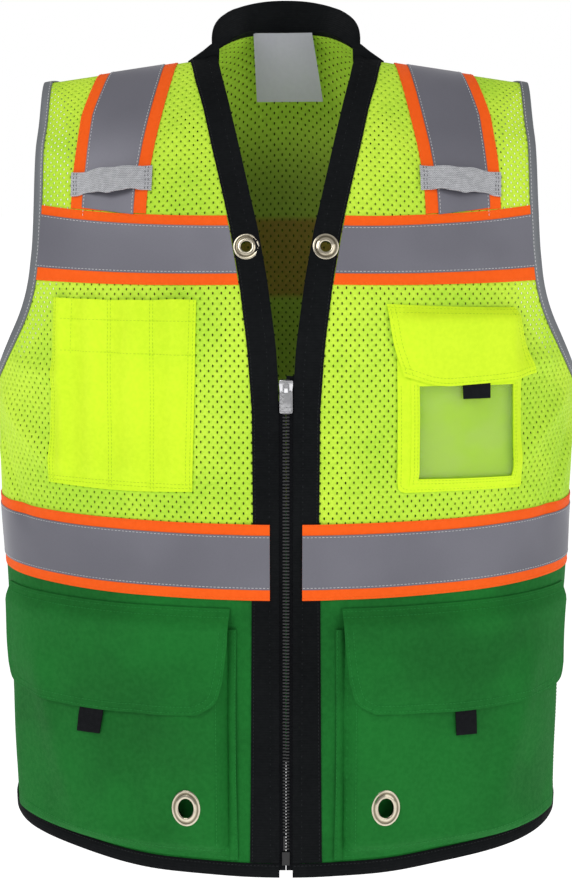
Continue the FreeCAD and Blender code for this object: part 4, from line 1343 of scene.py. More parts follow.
@dataclass
class FrontPanel:
    """One front: mesh, green lower cloth, tapes, placket, bindings, mic loop, eyelet."""

    side: int
    tape_levels: tuple[float, float, float, float] = (1.2, 1.85, 1.9, 2.4)
    binding: float = 9.2
    hem_binding: float = 12.0
    waist_in: float = 14.0

    def __post_init__(self) -> None:
        """Name the body and the ways pieces follow it."""
        self.hand = "left" if self.side > 0 else "right"
        self.body = self.hand + "_front"
        self.hang = Carry("back", self.body)
        self.ride = Carry(self.body)

    def flip(self, loop: Points) -> Points:
        """Outline on this side."""
        return mirrored(loop, self.side)

    def mesh_loop(self) -> Points:
        """Outline of the mesh panel."""
        inner = part_of(NECK_IN, -430.0, FRONT.top - SEAM, 3.0, 21)
        arm = [(p - 1.5, q if i else FRONT.top - SEAM) for i, (p, q) in enumerate(smooth_line(ARMHOLE, 30))]
        arm[-1] = (FRONT.side - SEAM, -285.0)
        return inner + arm + [(FRONT.side - SEAM, -430.0)]

    def build_base(self, bench: Bench) -> None:
        """Perforated upper panel and plain lower cloth."""
        eye = ring(self.side * NECK_EYE[0], NECK_EYE[1], 5.6)
        mesh = bench.perforator.panel(self.hand + "_front_knit", FRONT, self.flip(self.mesh_loop()),
                                      bench.finishes.mesh, 0.5, [eye])
        dress(mesh, bench.finishes.mesh, self.hang, [self.hand + "_front_mesh"])
        inner = part_of(NECK_IN, -431.0, -698.0, 3.0, 7)
        hem = row(lambda p: hem_front(p) + 2.0, inner[-1][0], FRONT.side - SEAM, 21)
        loop = inner[:-1] + hem + [(FRONT.side - SEAM, -431.0)]
        low = sheet(self.hand + "_front_green", FRONT, self.flip(loop), 0.0, 1.0, step=11.0)
        dress(low, bench.finishes.green, self.ride, [self.hand + "_front_lower"])

    def chest_loop(self, top: Callable[[float], float], low: Callable[[float], float]) -> Points:
        """Outline of one layer of the chest band."""
        a = along(NECK_OUT, top(48)) + 0.6
        b = along(NECK_OUT, low(40)) + 0.6
        c = along(ARMHOLE, low(235)) - 9.4
        d = along(ARMHOLE, top(235)) - 9.4
        return row(top, d, a, 25) + row(low, b, c, 25)

    def shoulder_loop(self, inset: float) -> Points:
        """Outline of one layer of the shoulder tape."""
        return (part_of(TAPE_IN, chest_top(120) + 0.8, FRONT.top - SEAM, inset, 21)
                + part_of(TAPE_OUT, FRONT.top - SEAM, chest_top(193) + 0.8, -inset, 21))

    def waist_lift(self, base: float) -> Height:
        """The waist band climbs over the thicker placket."""
        return lambda p, q: base + 1.3 * (1 - ease((np.abs(p) - 31.0) / 16.0))

    def waist_loop(self, top: Callable[[float], float], low: Callable[[float], float]) -> Points:
        """Outline of one layer of the waist band."""
        out = FRONT.side - SEAM
        return row(top, out, self.waist_in, 33) + row(low, self.waist_in, out, 33)

    def build_tapes(self, bench: Bench) -> None:
        """Chest, shoulder and waist bands: silver tape on an orange backing."""
        a, b, c, d = self.tape_levels
        f, hand = bench.finishes, self.hand
        for key, loop, silver, ride, lift in (
                ("chest", self.chest_loop(chest_top, chest_low), False, self.hang, float),
                ("chest", self.chest_loop(chest_silver_top, chest_silver_low), True, self.hang, float),
                ("shoulder", self.shoulder_loop(0.0), False, self.hang, float),
                ("shoulder", self.shoulder_loop(11.5), True, self.hang, float),
                ("waist", self.waist_loop(WAIST[0], WAIST[3]), False, self.ride, self.waist_lift),
                ("waist", self.waist_loop(WAIST[1], WAIST[2]), True, self.ride, self.waist_lift)):
            lo, hi = (c, d) if silver else (a, b)
            piece = sheet(f"{hand}_{key}_{'tape' if silver else 'backing'}", FRONT, self.flip(loop), lift(lo), lift(hi),
                          step=6.0)
            dress(piece, f.silver if silver else f.orange, ride, [f"{hand}_{key}_{'silver' if silver else 'orange'}"])
        sew = bench.sewing
        for rule, at, thread, level in ((chest_silver_top, -1.6, "white", d), (chest_silver_low, 1.6, "white", d),
                                        (chest_top, -1.8, "orange", b), (chest_low, 1.8, "orange", b)):
            ends = (along(NECK_OUT, rule(48)) + 2.5, along(ARMHOLE, rule(235)) - 11.0)
            sew.seam(self.hang, thread, FRONT, row(lambda p: rule(p) + at, *ends, 30), level + 0.12, self.side)
        for table, inset in ((TAPE_IN, 11.5), (TAPE_OUT, -11.5)):
            line = part_of(table, chest_top(150), FRONT.top - 1.0, inset + math.copysign(1.6, inset), 20)
            sew.seam(self.hang, "white", FRONT, line, d + 0.12, self.side)
            line = part_of(table, chest_top(150), FRONT.top - 1.0, math.copysign(1.8, inset), 20)
            sew.seam(self.hang, "orange", FRONT, line, b + 0.12, self.side)
        for rule, at, thread, level in ((WAIST[1], -1.6, "white", d), (WAIST[2], 1.6, "white", d),
                                        (WAIST[0], -1.8, "orange", b), (WAIST[3], 1.8, "orange", b)):
            line = row(lambda p: rule(p) + at, self.waist_in + 1.5, FRONT.side - 2.0, 50)
            sew.seam(self.ride, thread, FRONT, line, self.waist_lift(level + 0.12), self.side)

    def build_placket(self, bench: Bench) -> None:
        """Ribbed black facing with a raised inner welt."""
        low = -708.0
        inner = part_of(NECK_IN, low, FRONT.top - SEAM, 0.0, 60)
        outer = part_of(NECK_OUT, FRONT.top - SEAM, low, 0.0, 60)
        inner[0] = (6.0, hem_front(6.0) + 12.6)
        outer[-1] = (33.0, hem_front(33.0) + 12.6)
        eye = ring(self.side * NECK_EYE[0], NECK_EYE[1], 5.4)

        def face(p: Array, q: Array) -> Array:
            """Height of the facing: a rolled welt, a stitched groove, then flat."""
            d = np.abs(p) - line_width(NECK_IN, q)
            wide = line_width(NECK_OUT, q) - line_width(NECK_IN, q)
            roll = np.sqrt(np.clip(1 - ((d - 3.6) / 3.9) ** 2, 0, 1)) * 1.0
            groove = -0.35 * np.exp(-((d - 8.2) / 0.9) ** 2)
            pucker = 0.12 * np.sin(q / 1.15) * np.exp(-((d - 8.2) / 3.0) ** 2)
            return 2.2 + roll + groove + pucker - 0.4 * ease((d - wide + 1.6) / 1.6)

        piece = sheet(self.hand + "_zip_facing", FRONT, self.flip(inner + outer), 1.2, face, [eye], step=2.7)
        dress(piece, bench.finishes.black, self.hang, [self.hand + "_placket"])
        sew = bench.sewing
        for offset, lift in ((8.2, 1.95), (-2.2, 2.35)):
            table = NECK_IN if offset > 0 else NECK_OUT
            line = part_of(table, -694.0, FRONT.top - 2.0, offset, 90)
            sew.seam(self.hang, "black", FRONT, line, lift, self.side)

    def build_bindings(self, bench: Bench) -> None:
        """Grey armhole binding and black hem binding."""
        line = smooth_line([(p, q if i else FRONT.top - SEAM) for i, (p, q) in enumerate(ARMHOLE)], 60)
        line[-1] = (FRONT.side - SEAM, -283.5)
        arm = folded_binding(self.hand + "_armhole_tape", FRONT, line, -1, self.side, self.binding)
        dress(arm, bench.finishes.grey_binding, self.hang, [self.hand + "_front_armhole_binding"])
        inside_line = [(p + ip * 7.6, q + iq * 7.6) for p, q, ip, iq in edge_frames(line, -1)]
        bench.sewing.seam(self.hang, "white", FRONT, inside_line[:-1], 2.6, self.side)
        hem_line = row(hem_front, 6.0, FRONT.side - SEAM, 50)
        hem = folded_binding(self.hand + "_hem_tape", FRONT, hem_line, 1, self.side, self.hem_binding)
        dress(hem, bench.finishes.black, self.ride, [self.hand + "_front_hem_binding"])
        bench.sewing.seam(self.ride, "black", FRONT, row(lambda p: hem_front(p) + 10.2, 8.0, FRONT.side - 2.0, 50),
                          2.6, self.side)

    def build_mic_loop(self, bench: Bench) -> None:
        """Grey webbing loop across the shoulder tape, bar-tacked at both ends."""
        def under(p: Array, q: Array) -> Array:
            """Height of the webbing's underside."""
            w = np.clip((np.abs(p) - 122.0) / 60.0, 0, 1)
            return 2.7 + 6.0 * ease(np.minimum(w, 1 - w) * 2.6)

        top = [(p, -80.5 + 0.5 * math.sin(p / 5.0)) for p in np.linspace(191.5, 115.0, 20)]
        low = [(p, -103.6 + 1.3 * math.sin(p / 6.5) + 0.4 * math.sin(p / 2.3)) for p in np.linspace(116.0, 192.0, 26)]
        loop = sheet(self.hand + "_mic_webbing", FRONT, self.flip(top + low), under, raised(under, 1.3), step=3.2)
        dress(loop, bench.finishes.webbing, self.hang, [self.hand + "_mic_tab"])
        for p0 in (118.3, 121.0, 186.0, 188.7):
            line = [(p0 + 0.6 * (k % 2), -82.5 - 0.72 * k) for k in range(28)]
            bench.sewing.seam(self.hang, "black", FRONT, line, raised(under, 1.45), self.side)

    def build_seams(self, bench: Bench) -> None:
        """Cloth welts behind the side and shoulder seams."""
        narrow = [(-4.0, -0.1), (4.0, -0.1), (4.0, -0.7), (0.0, -0.95), (-4.0, -0.7)]
        wide = [(w, -0.45) for w in range(-12, 13, 2)] + [(w, -1.1) for w in range(12, -13, -2)]
        heights = np.linspace(-287.0, hem_front(FRONT.side) + 3.0, 50)
        side_rows = [[FRONT.at(self.side * (FRONT.side + w), q, o) for w, o in wide] for q in heights]
        top_rows = [[FRONT.at(self.side * p, FRONT.top + w, o) for w, o in narrow] for p in np.linspace(89.0, 226.0, 30)]
        for key, rows, ride in (("side", side_rows, Carry("back", self.body, 8.0 * MM)),
                                ("shoulder", top_rows, Carry("back"))):
            welt = fix_outward(loft(f"{self.hand}_{key}_seam_welt", np.array(rows)))
            dress(welt, bench.finishes.lime, ride)

    def build(self, bench: Bench) -> None:
        """Make the whole front."""
        self.build_base(bench)
        self.build_tapes(bench)
        self.build_placket(bench)
        self.build_bindings(bench)
        self.build_mic_loop(bench)
        self.build_seams(bench)
        Eyelet(self.hand + "_neck_ring", self.hand + "_neck_eyelet", self.hang, (self.side * NECK_EYE[0], NECK_EYE[1]),
               4.6, 11.4, -0.3, 2.5).build(bench)


@dataclass
class CargoPocket:
    """Flapped cargo pocket with a webbing pull tab and a large eyelet."""

    side: int
    inner: float = 51.5
    outer: float = 298.0
    mouth: float = -489.0
    floor: float = -694.0
    depth: float = 12.0
    flap_top: float = -470.5
    tabs: dict[int, tuple[float, float]] = field(default_factory=lambda: {-1: (161.0, 184.0), 1: (150.0, 169.5)})

    def __post_init__(self) -> None:
        """Name the side and the bodies."""
        self.hand = "left" if self.side > 0 else "right"
        self.ride = Carry(self.hand + "_front")
        self.flap_ride = Carry(self.hand + "_cargo_flap")

    def ply(self, p: Array, q: Array) -> Array:
        """Height of the bellied ply: steep at its inner edge, flatter round the wearer's side."""
        a = np.abs(p)
        edges = ease((a - self.inner) / 10.0) * ease((self.outer - a) / 20.0) * ease((q - self.floor) / 16.0)
        mouth = 0.62 + 0.38 * ease((self.mouth - q) / 60.0)
        return 1.35 + self.depth * edges * mouth * (1 - 0.62 * ease((a - 185.0) / 100.0))

    def slump(self, p: Array, q: Array) -> Array:
        """Ply height with the soft creases of a used pocket."""
        a = np.abs(p)
        inside_ = ease((a - self.inner - 8) / 30) * ease((self.outer - 8 - a) / 30) * ease((q - self.floor - 6) / 30)
        crease = 1.3 * np.sin(a / 21.0 + q / 47.0) * np.sin(q / 31.0 - a / 90.0 + self.side)
        tug = 1.5 * np.exp(-((a - 92.0 - (q + 560) * 0.25) / 9.0) ** 2) * ease((q + 690) / 60)
        return self.ply(p, q) + (crease + tug - 0.6) * inside_ * ease((self.mouth + 20 - q) / 50)

    def over(self, p: Array, q: Array) -> Array:
        """Height of the flap's underside."""
        a = np.abs(p)
        rest = self.ply(np.clip(a, self.inner + 18, self.outer - 18), np.minimum(q, self.mouth)) + 2.6
        wave = 0.9 * np.sin(a / 24.0 + 1.3 * self.side) * ease((-520.0 - q) / 40.0)
        return 1.35 + (rest + wave - 1.35) * ease((self.flap_top + 1.0 - q) / 18.0)

    def flap_outline(self) -> Points:
        """Outline of the flap."""
        inner = smooth_line([(49.0, self.flap_top), (51.0, -502.0), (54.5, -533.0)], 10)
        corner = smooth_line([(54.5, -533.0), (61.0, -552.0), (77.0, -562.5)], 9)
        low = smooth_line([(77.0, -562.5), (120.0, -564.6), (170.0, -565.5), (220.0, -564.4), (266.0, -563.0)], 24)
        corner2 = smooth_line([(266.0, -563.0), (284.0, -558.5), (290.5, -546.0)], 8)
        outer = smooth_line([(290.5, -546.0), (292.0, -510.0), (292.0, self.flap_top)], 10)
        return inner[:-1] + corner[:-1] + low[:-1] + corner2[:-1] + outer

    def build_bellows(self, bench: Bench) -> None:
        """Folded strip of cloth that lets the pocket stand away from the front."""
        def fold(p: Array, q: Array) -> Array:
            """Height of the strip: one soft pleat beside the ply."""
            w = np.clip((self.inner + 1.0 - np.abs(p)) / 10.0, 0, 1)
            return 1.15 + 3.6 * np.sin(np.pi * np.clip(w, 0, 1)) ** 0.8 * (0.7 + 0.3 * np.sin(q / 37.0 + self.side))

        low = hem_front(self.inner) + 14.5
        loop = [(self.inner + 1.0, self.mouth), (self.inner - 8.0, self.mouth)]
        loop += smooth_line([(self.inner - 8.0, self.mouth), (self.inner - 6.5, -590.0), (self.inner - 8.0, low)], 20)[1:]
        loop += [(self.inner + 1.0, low)]
        strip = sheet(self.hand + "_pocket_bellows", FRONT, mirrored(loop, self.side), fold, raised(fold, 0.8), step=2.6)
        dress(strip, bench.finishes.green, self.ride)
        bench.sewing.seam(self.ride, "green", FRONT, [(self.inner - 6.3, self.mouth - 2.0), (self.inner - 6.3, low + 2.0)],
                          raised(fold, 0.95), self.side)

    def build(self, bench: Bench) -> None:
        """Make the ply, flap, tab, eyelet and stitching."""
        f, side, sew, hand = bench.finishes, self.side, bench.sewing, self.hand
        eye = ring(side * POCKET_EYE[0], POCKET_EYE[1], 8.4)
        loop = [(self.outer - 3, self.mouth), (self.inner, self.mouth)] + row(lambda p: hem_front(p) + 14.0,
                                                                            self.inner, self.outer, 33)
        ply = sheet(hand + "_pocket_ply", FRONT, mirrored(loop, side), self.slump, raised(self.slump, 0.9), [eye],
                    step=5.0)
        dress(ply, f.green, self.ride, [hand + "_cargo_pocket"])
        self.build_bellows(bench)
        for d in (3.0, 9.5):
            line = [(self.inner + d, self.mouth - 2.0), (self.inner + d, self.floor + 14.0 + d * 0.2)]
            sew.seam(self.ride, "green", FRONT, line, raised(self.slump, 1.05), side)
            sew.seam(self.ride, "green", FRONT, row(lambda p: hem_front(p) + 14.0 + d, self.inner + 3, self.outer - 3,
                                                   40), raised(self.slump, 1.05), side)
            line = [(self.outer - 3 - d, self.mouth - 2.0), (self.outer - d, self.floor + 16.0)]
            sew.seam(self.ride, "green", FRONT, line, raised(self.slump, 1.05), side)
        outline = self.flap_outline()
        flap = sheet(hand + "_pocket_flap", FRONT, mirrored(outline, side), self.over, raised(self.over, 1.0),
                     step=5.0)
        flap_piece = dress(flap, f.green, self.flap_ride, [hand + "_cargo_flap"])
        frames = edge_frames(outline, 1)
        for d in (2.4, 7.6):
            line = [(p + ip * d, q + iq * d) for p, q, ip, iq in frames[3:-3]]
            sew.seam(self.flap_ride, "green", FRONT, line, raised(self.over, 1.12), side)
        for d in (2.6, 7.2):
            sew.seam(self.flap_ride, "green", FRONT, [(51.0, self.flap_top - d), (291.0, self.flap_top - d)],
                     raised(self.over, 1.12), side)
        t0, t1 = self.tabs[side]
        lean = 7.0 if side < 0 else 2.5
        tab_loop = [(t1, -553.0), (t0, -553.0), (t0 + lean * 0.6, -574.0), (t0 + lean, -587.6),
                    (t1 + lean, -588.2), (t1 + lean * 0.7, -574.0)]
        tab = sheet(hand + "_pocket_tab", FRONT, mirrored(tab_loop, side), raised(self.ply, 1.3),
                    raised(self.ply, 2.4), step=3.5)
        tab_piece = dress(tab, f.black_plain, self.flap_ride, [hand + "_cargo_flap_tab"])
        level = float(self.slump(np.array([POCKET_EYE[0]]), np.array([POCKET_EYE[1]]))[0])
        Eyelet(hand + "_pocket_ring", hand + "_pocket_eyelet", self.ride, (side * POCKET_EYE[0], POCKET_EYE[1]),
               8.6, 16.2, level - 0.4, level + 1.1, 0.8).build(bench)


@dataclass
class PenPocket:
    """Chest pocket with three pen channels and one wide pocket, on the wearer's right."""

    seams: tuple[float, ...] = (76.0, 115.0, 154.0, 190.0, 214.0)
    bulge: float = 4.6

    def height(self, p: Array, q: Array) -> Array:
        """Height of the ply over its channels."""
        a = np.abs(p)
        out = np.zeros_like(a)
        for lo, hi in zip(self.seams, self.seams[1:]):
            w = np.clip((a - lo) / (hi - lo), 0, 1)
            out = np.where((a >= lo) & (a <= hi), np.sin(np.pi * w) ** 2, out)
        crease = 0.5 * np.sin(q / 17.0 + a / 13.0) + 0.6 * np.sin(q / 41.0 - a / 19.0)
        belly = (self.bulge * out + crease * ease((a - 78) / 14) * ease((214 - a) / 14)) * ease((q + 369.0) / 22.0)
        hem = 0.5 * ease((q + 252.5) / 2.5) + 0.35 * ease((q + 224.0) / 2.5)
        return 1.35 + belly + hem * ease((a - 79) / 4) * ease((211 - a) / 4)

    def build(self, bench: Bench) -> None:
        """Make the ply and its stitching."""
        ride, sew = Carry("right_front"), bench.sewing
        loop = smooth_line([(210.0, -202.0), (150.0, -203.6), (76.0, -203.5)], 20)[:-1]
        loop += smooth_line([(76.0, -203.5), (78.0, -280.0), (80.5, -369.0)], 16)[:-1]
        loop += smooth_line([(80.5, -369.0), (146.0, -370.6), (219.0, -368.5)], 20)[:-1]
        loop += smooth_line([(219.0, -368.5), (213.6, -280.0), (210.0, -202.0)], 16)[:-1]
        piece = sheet("pen_pocket_ply", FRONT, mirrored(loop, -1), self.height, raised(self.height, 0.9), step=2.6)
        dress(piece, bench.finishes.lime, ride, ["pen_pocket"])
        face = raised(self.height, 1.02)
        for q in (-222.0, -250.5):
            sew.seam(ride, "lime", FRONT, [(78.0, q), (210.5, q + 0.6)], face, -1)
        for p in (113.6, 116.4, 152.6, 155.4):
            sew.seam(ride, "lime", FRONT, [(p, -204.5), (p + 1.0, -367.0)], face, -1)
        sew.seam(ride, "lime", FRONT, [(190.0, -204.5), (192.0, -252.0)], face, -1)
        for d in (2.2, 5.6):
            sew.seam(ride, "lime", FRONT, [(76.0 + d, -205.0), (80.5 + d, -368.0 + d)], face, -1)
            sew.seam(ride, "lime", FRONT, [(82.0, -368.6 + d), (218.0, -367.6 + d)], face, -1)
            sew.seam(ride, "lime", FRONT, [(210.0 - d, -203.0), (219.0 - d, -367.0)], face, -1)


@dataclass
class CardPocket:
    """Clear-window card pocket with a flared flap, on the wearer's left."""

    depth: float = 8.0

    def __post_init__(self) -> None:
        """Set up the ply's height rule."""
        self.ply = bag(90.0, 219.0, -372.0, self.depth, 22.0)

    def over(self, p: Array, q: Array) -> Array:
        """Height of the flap's underside, flared at its outer corner."""
        flare = 3.5 * ease((np.abs(p) - 190.0) / 34.0) * ease((-236.0 - q) / 36.0)
        return 1.35 + (self.ply(p, np.minimum(q, -222.0)) + 2.9 - 1.35 + flare) * ease((-207.0 - q) / 15.0)

    def build(self, bench: Bench) -> None:
        """Make the backing, frame, window, welt, flap and tab."""
        f, sew, ride, flap_ride = bench.finishes, bench.sewing, Carry("left_front"), Carry("id_flap")
        body = [(208.0, -218.0), (94.5, -218.0)] + smooth_line([(94.5, -218.0), (95.0, -290.0), (96.0, -362.0)], 12)[1:]
        body += [(97.0, -367.4), (99.6, -370.0), (103.0, -370.8)]
        body += smooth_line([(103.0, -370.8), (160.0, -371.4), (214.0, -373.0)], 12)[1:] + [(217.0, -371.0)]
        window = [(199.0, -279.5), (112.0, -277.5), (113.0, -358.5), (204.0, -361.5)]
        grown = [(203.0, -275.5), (108.0, -273.5), (109.0, -362.5), (208.0, -365.5)]
        welt = [(206.0, -272.5), (105.0, -270.5), (106.0, -365.6), (211.0, -368.4)]
        # the lime behind the window is a darker copy of the lime cloth: painted shade inside the pocket
        back = sheet("card_pocket_backing", FRONT, grown, 1.1, 1.3, step=6.0)
        dress(back, f.lime_backing_shaded, ride)
        frame_ply = sheet("card_pocket_frame", FRONT, body, self.ply, raised(self.ply, 0.9), [window], step=4.0)
        dress(frame_ply, f.lime, ride, ["id_pocket_frame"])
        edge = sheet("card_window_welt", FRONT, welt, raised(self.ply, 0.95), raised(self.ply, 1.6), [window],
                     step=3.0)
        dress(edge, f.lime, ride)
        pane = sheet("card_window_pane", FRONT, grown, raised(self.ply, -0.65), raised(self.ply, -0.3), step=4.5)
        dress(pane, f.vinyl, ride, ["id_window"])
        for d in (1.6, 4.2):
            line = [(199.0 + d, -279.0), (204.0 + d, -361.5 - d), (113.0 - d, -358.5 - d), (112.0 - d, -277.5)]
            sew.seam(ride, "lime", FRONT, line, raised(self.ply, 1.7), 1)
        sew.seam(ride, "lime", FRONT, [(97.6, -278.0), (98.8, -364.0), (103.0, -368.4), (214.0, -370.6)],
                 raised(self.ply, 1.0), 1)
        outline = [(206.0, -211.0)] + smooth_line([(206.0, -211.0), (150.0, -209.6), (85.5, -207.0)], 18)[1:-1]
        outline += smooth_line([(85.5, -207.0), (91.0, -240.0), (99.5, -269.0)], 10)[:-1]
        outline += smooth_line([(99.5, -269.0), (129.0, -277.5), (158.0, -277.5), (197.0, -275.5), (224.0, -271.0)],
                               26)[:-1]
        outline += smooth_line([(224.0, -271.0), (215.0, -242.0), (206.0, -211.0)], 10)[:-1]
        flap = sheet("card_pocket_flap", FRONT, outline, self.over, raised(self.over, 0.95), step=4.0)
        flap_piece = dress(flap, f.lime, flap_ride, ["id_flap"])
        for d in (2.2, 6.4):
            sew.seam(flap_ride, "lime", FRONT, [(86.8, -207.6 - d), (205.4, -211.4 - d)], raised(self.over, 1.06), 1)
            low = smooth_line([(100.5, -268.0 + d), (129.0, -277.3 + d), (158.0, -277.3 + d), (197.0, -275.3 + d),
                               (222.0, -270.8 + d)], 24)
            sew.seam(flap_ride, "lime", FRONT, low, raised(self.over, 1.06), 1)
            sew.seam(flap_ride, "lime", FRONT, [(86.0 + d, -209.0), (91.2 + d, -240.0), (99.0 + d, -266.0)],
                     raised(self.over, 1.06), 1)
            sew.seam(flap_ride, "lime", FRONT, [(205.8 - d, -213.0), (214.6 - d, -242.0), (222.6 - d, -269.0)],
                     raised(self.over, 1.06), 1)
        strip = [(175.0, -266.0), (150.0, -266.0), (150.6, -279.0), (151.0, -290.0), (176.2, -290.4), (175.8, -278.0)]
        tab = sheet("card_flap_tab", FRONT, strip, raised(self.ply, 1.4), raised(self.ply, 2.4), step=3.2)
        tab_piece = dress(tab, f.black_plain, flap_ride, ["id_flap_tab"])


@dataclass
class ZipMetal:
    """Slider with its bridge and the framed pull tab, in the zip's own axes."""

    top: float = -271.5
    tab_width: float = 11.2
    tab_length: float = 19.0

    def __post_init__(self) -> None:
        """Set the axes: down the zip, out of the chest, and across."""
        self.down = np.array([0.0, -20.0, -460.0]) / math.hypot(20.0, 460.0)
        self.out = np.array([0.0, self.down[2], -self.down[1]])
        self.origin = FRONT.plain(np.array([0.0]), np.array([self.top]))[0]

    def world(self, points: Array) -> Array:
        """Local (across, down, out) mm to metres in the frame."""
        pts = np.asarray(points, float)
        across = np.array([-1.0, 0.0, 0.0])
        return (self.origin + pts[:, :1] * across + pts[:, 1:2] * self.down + pts[:, 2:3] * self.out) * MM

    def plate(self, outline: Points, low: float, high: float, bevel: float, hole: Points | None = None) -> bmesh.types.BMesh:
        """Bevelled plate between two levels.

        Args:
            outline: (across, down) outline.
            low: inner level.
            high: outer level.
            bevel: edge radius in mm.
            hole: outline cut through it.

        Returns:
            The plate in local mm.
        """
        pts, tris = fill(outline, [hole] if hole else [], 50.0)
        n = len(pts)
        pairs = {(int(t[k]), int(t[(k + 1) % 3])) for t in tris for k in range(3)}
        made = bmesh.new()
        tops = [made.verts.new((x, y, high)) for x, y in pts]
        lows = [made.verts.new((x, y, low)) for x, y in pts]
        for t in tris:
            made.faces.new([tops[i] for i in t])
            made.faces.new([lows[i] for i in t[::-1]])
        for a, b in pairs:
            if (b, a) not in pairs:
                made.faces.new([tops[a], lows[a], lows[b], tops[b]])
        bmesh.ops.recalc_face_normals(made, faces=made.faces)
        sharp = [e for e in made.edges if e.calc_face_angle(0.0) > 0.9]
        bmesh.ops.bevel(made, geom=sharp, offset=bevel, segments=2, profile=0.5, affect="EDGES", clamp_overlap=True)
        return made

    def join(self, name: str, pieces: Sequence[bmesh.types.BMesh]) -> Obj:
        """Put several local meshes into one object."""
        verts: list[tuple[float, ...]] = []
        faces: list[tuple[int, ...]] = []
        for piece in pieces:
            piece.verts.ensure_lookup_table()
            piece.verts.index_update()
            start = len(verts)
            verts += [tuple(v.co) for v in piece.verts]
            faces += [tuple(v.index + start for v in f.verts) for f in piece.faces]
            piece.free()
        obj = new_object(name, self.world(np.array(verts)), faces, 40.0)
        return fix_outward(obj)

    def bow(self, half: float, reach: tuple[float, float], peak: float, thick: float) -> bmesh.types.BMesh:
        """Arched bridge strip that holds the pull.

        Args:
            half: half width across.
            reach: where it starts and ends, down the zip.
            peak: height of the arch above the plate.
            thick: metal thickness.

        Returns:
            The strip in local mm.
        """
        made = bmesh.new()
        loops = []
        for k in range(17):
            f = k / 16
            y = reach[0] + (reach[1] - reach[0]) * f
            z = 2.2 + peak * math.sin(math.pi * f) ** 0.6
            loops.append([made.verts.new((x, y, z + d)) for x, d in ((-half, 0.0), (half, 0.0), (half, thick),
                                                                    (-half, thick))])
        for a, b in zip(loops, loops[1:]):
            for i in range(4):
                made.faces.new([a[i], a[(i + 1) % 4], b[(i + 1) % 4], b[i]])
        made.faces.new(loops[0][::-1])
        made.faces.new(loops[-1])
        bmesh.ops.recalc_face_normals(made, faces=made.faces)
        return made

    def build(self, bench: Bench) -> None:
        """Make the slider and the pull."""
        half = [(-5.4, 0.2), (-5.9, 2.0), (-5.7, 6.0), (-5.2, 9.6), (-4.3, 13.0), (-3.6, 14.8)]
        outline = smooth_line(half, 14) + [(-x, y) for x, y in reversed(smooth_line(half, 14))]
        body = [self.plate(outline, 0.9, 2.3, 0.45), self.plate(outline, -4.8, -3.4, 0.45)]
        for s in (-1, 1):
            for low, high in ((-0.4, 1.1), (-3.6, -2.1)):
                x0, x1 = sorted((s * 4.5, s * 5.5))
                body.append(self.plate([(x0, 2.4), (x1, 2.4), (x1, 10.2), (x0, 10.2)], low, high, 0.2))
        body.append(self.plate([(-0.7, 0.5), (0.7, 0.5), (0.3, 5.0), (-0.3, 5.0)], -3.6, 1.1, 0.15))
        body.append(self.bow(1.5, (1.6, 11.6), 3.6, 0.8))
        slider = self.join("zip_slider_body", body)
        dress(slider, bench.finishes.chrome, Carry("zip_slider"), ["zip_slider"])
        w, y0, y1 = self.tab_width / 2, 9.2, 9.2 + self.tab_length
        tab = [(-w + 0.3, y0), (w - 0.3, y0), (w, y0 + 1.0), (w, y1 - 0.8), (w - 0.8, y1), (-w + 0.8, y1),
               (-w, y1 - 0.8), (-w, y0 + 1.0)]
        inner = [(-w + 1.3, y0 + 1.5), (w - 1.3, y0 + 1.5), (w - 1.3, y1 - 1.5), (-w + 1.3, y1 - 1.5)]
        neck = [(-2.9, 3.0), (2.9, 3.0), (3.1, y0 + 0.6), (-3.1, y0 + 0.6)]
        gap = [(-1.75, 4.2), (1.75, 4.2), (1.75, y0 - 0.7), (-1.75, y0 - 0.7)]
        pull = self.join("zip_pull_tab", [self.plate(tab, 3.7, 4.5, 0.25), self.plate(tab, 4.3, 5.0, 0.25, inner),
                                          self.plate(neck, 3.8, 4.8, 0.3, gap)])
        dress(pull, bench.finishes.chrome_tab, Carry("zip_pull"), ["zip_pull"])


@dataclass
class ZipFastener:
    """Open-ended zip: tapes, teeth, slider, pull, pin and box."""

    pitch: float = 2.9 * MM
    tooth: tuple[float, float, float] = (3.9 * MM, 1.75 * MM, 2.3 * MM)

    def build(self, bench: Bench) -> None:
        """Make both halves and dress the metalwork."""
        f = bench.finishes
        for hand, side, top, low in (("right", -1, -290.0, -672.0), ("left", 1, -268.0, -687.0)):
            ride = Carry(hand + "_front")
            edge, foot = 0.3, -705.0
            tape = sheet(hand + "_zip_tape", FRONT,
                         mirrored([(21.0, top), (edge, top), (edge, foot), (21.0, foot)], side), -2.1, -1.5, step=6.0)
            q = np.linspace(top - 2.0 - (1.45 if side > 0 else 0.0), low + 2.0, 160)
            p = np.full_like(q, side * 1.35)
            row_ = bench.chain.lay(hand + "_zip_teeth", FRONT.at(p, q, -1.25), FRONT.normal(p, q), self.pitch,
                                   self.tooth, f.zip_black)
            set_uv(row_, np.array([v.co[:2] for v in row_.data.vertices]))
            dress(row_, f.zip_black, ride)
            dress(tape, f.black_plain, ride, [hand + "_zip_half"])
        ZipMetal().build(bench)
        for node in ("zip_retainer_box", "zip_insertion_pin"):
            self.finish_node(node, f.zip_black)

    @staticmethod
    def finish_node(node: str, material: Material) -> None:
        """Put a finish on a node of the frame."""
        obj = frame["nodes"][node]
        for slot in obj.material_slots:
            slot.material = material


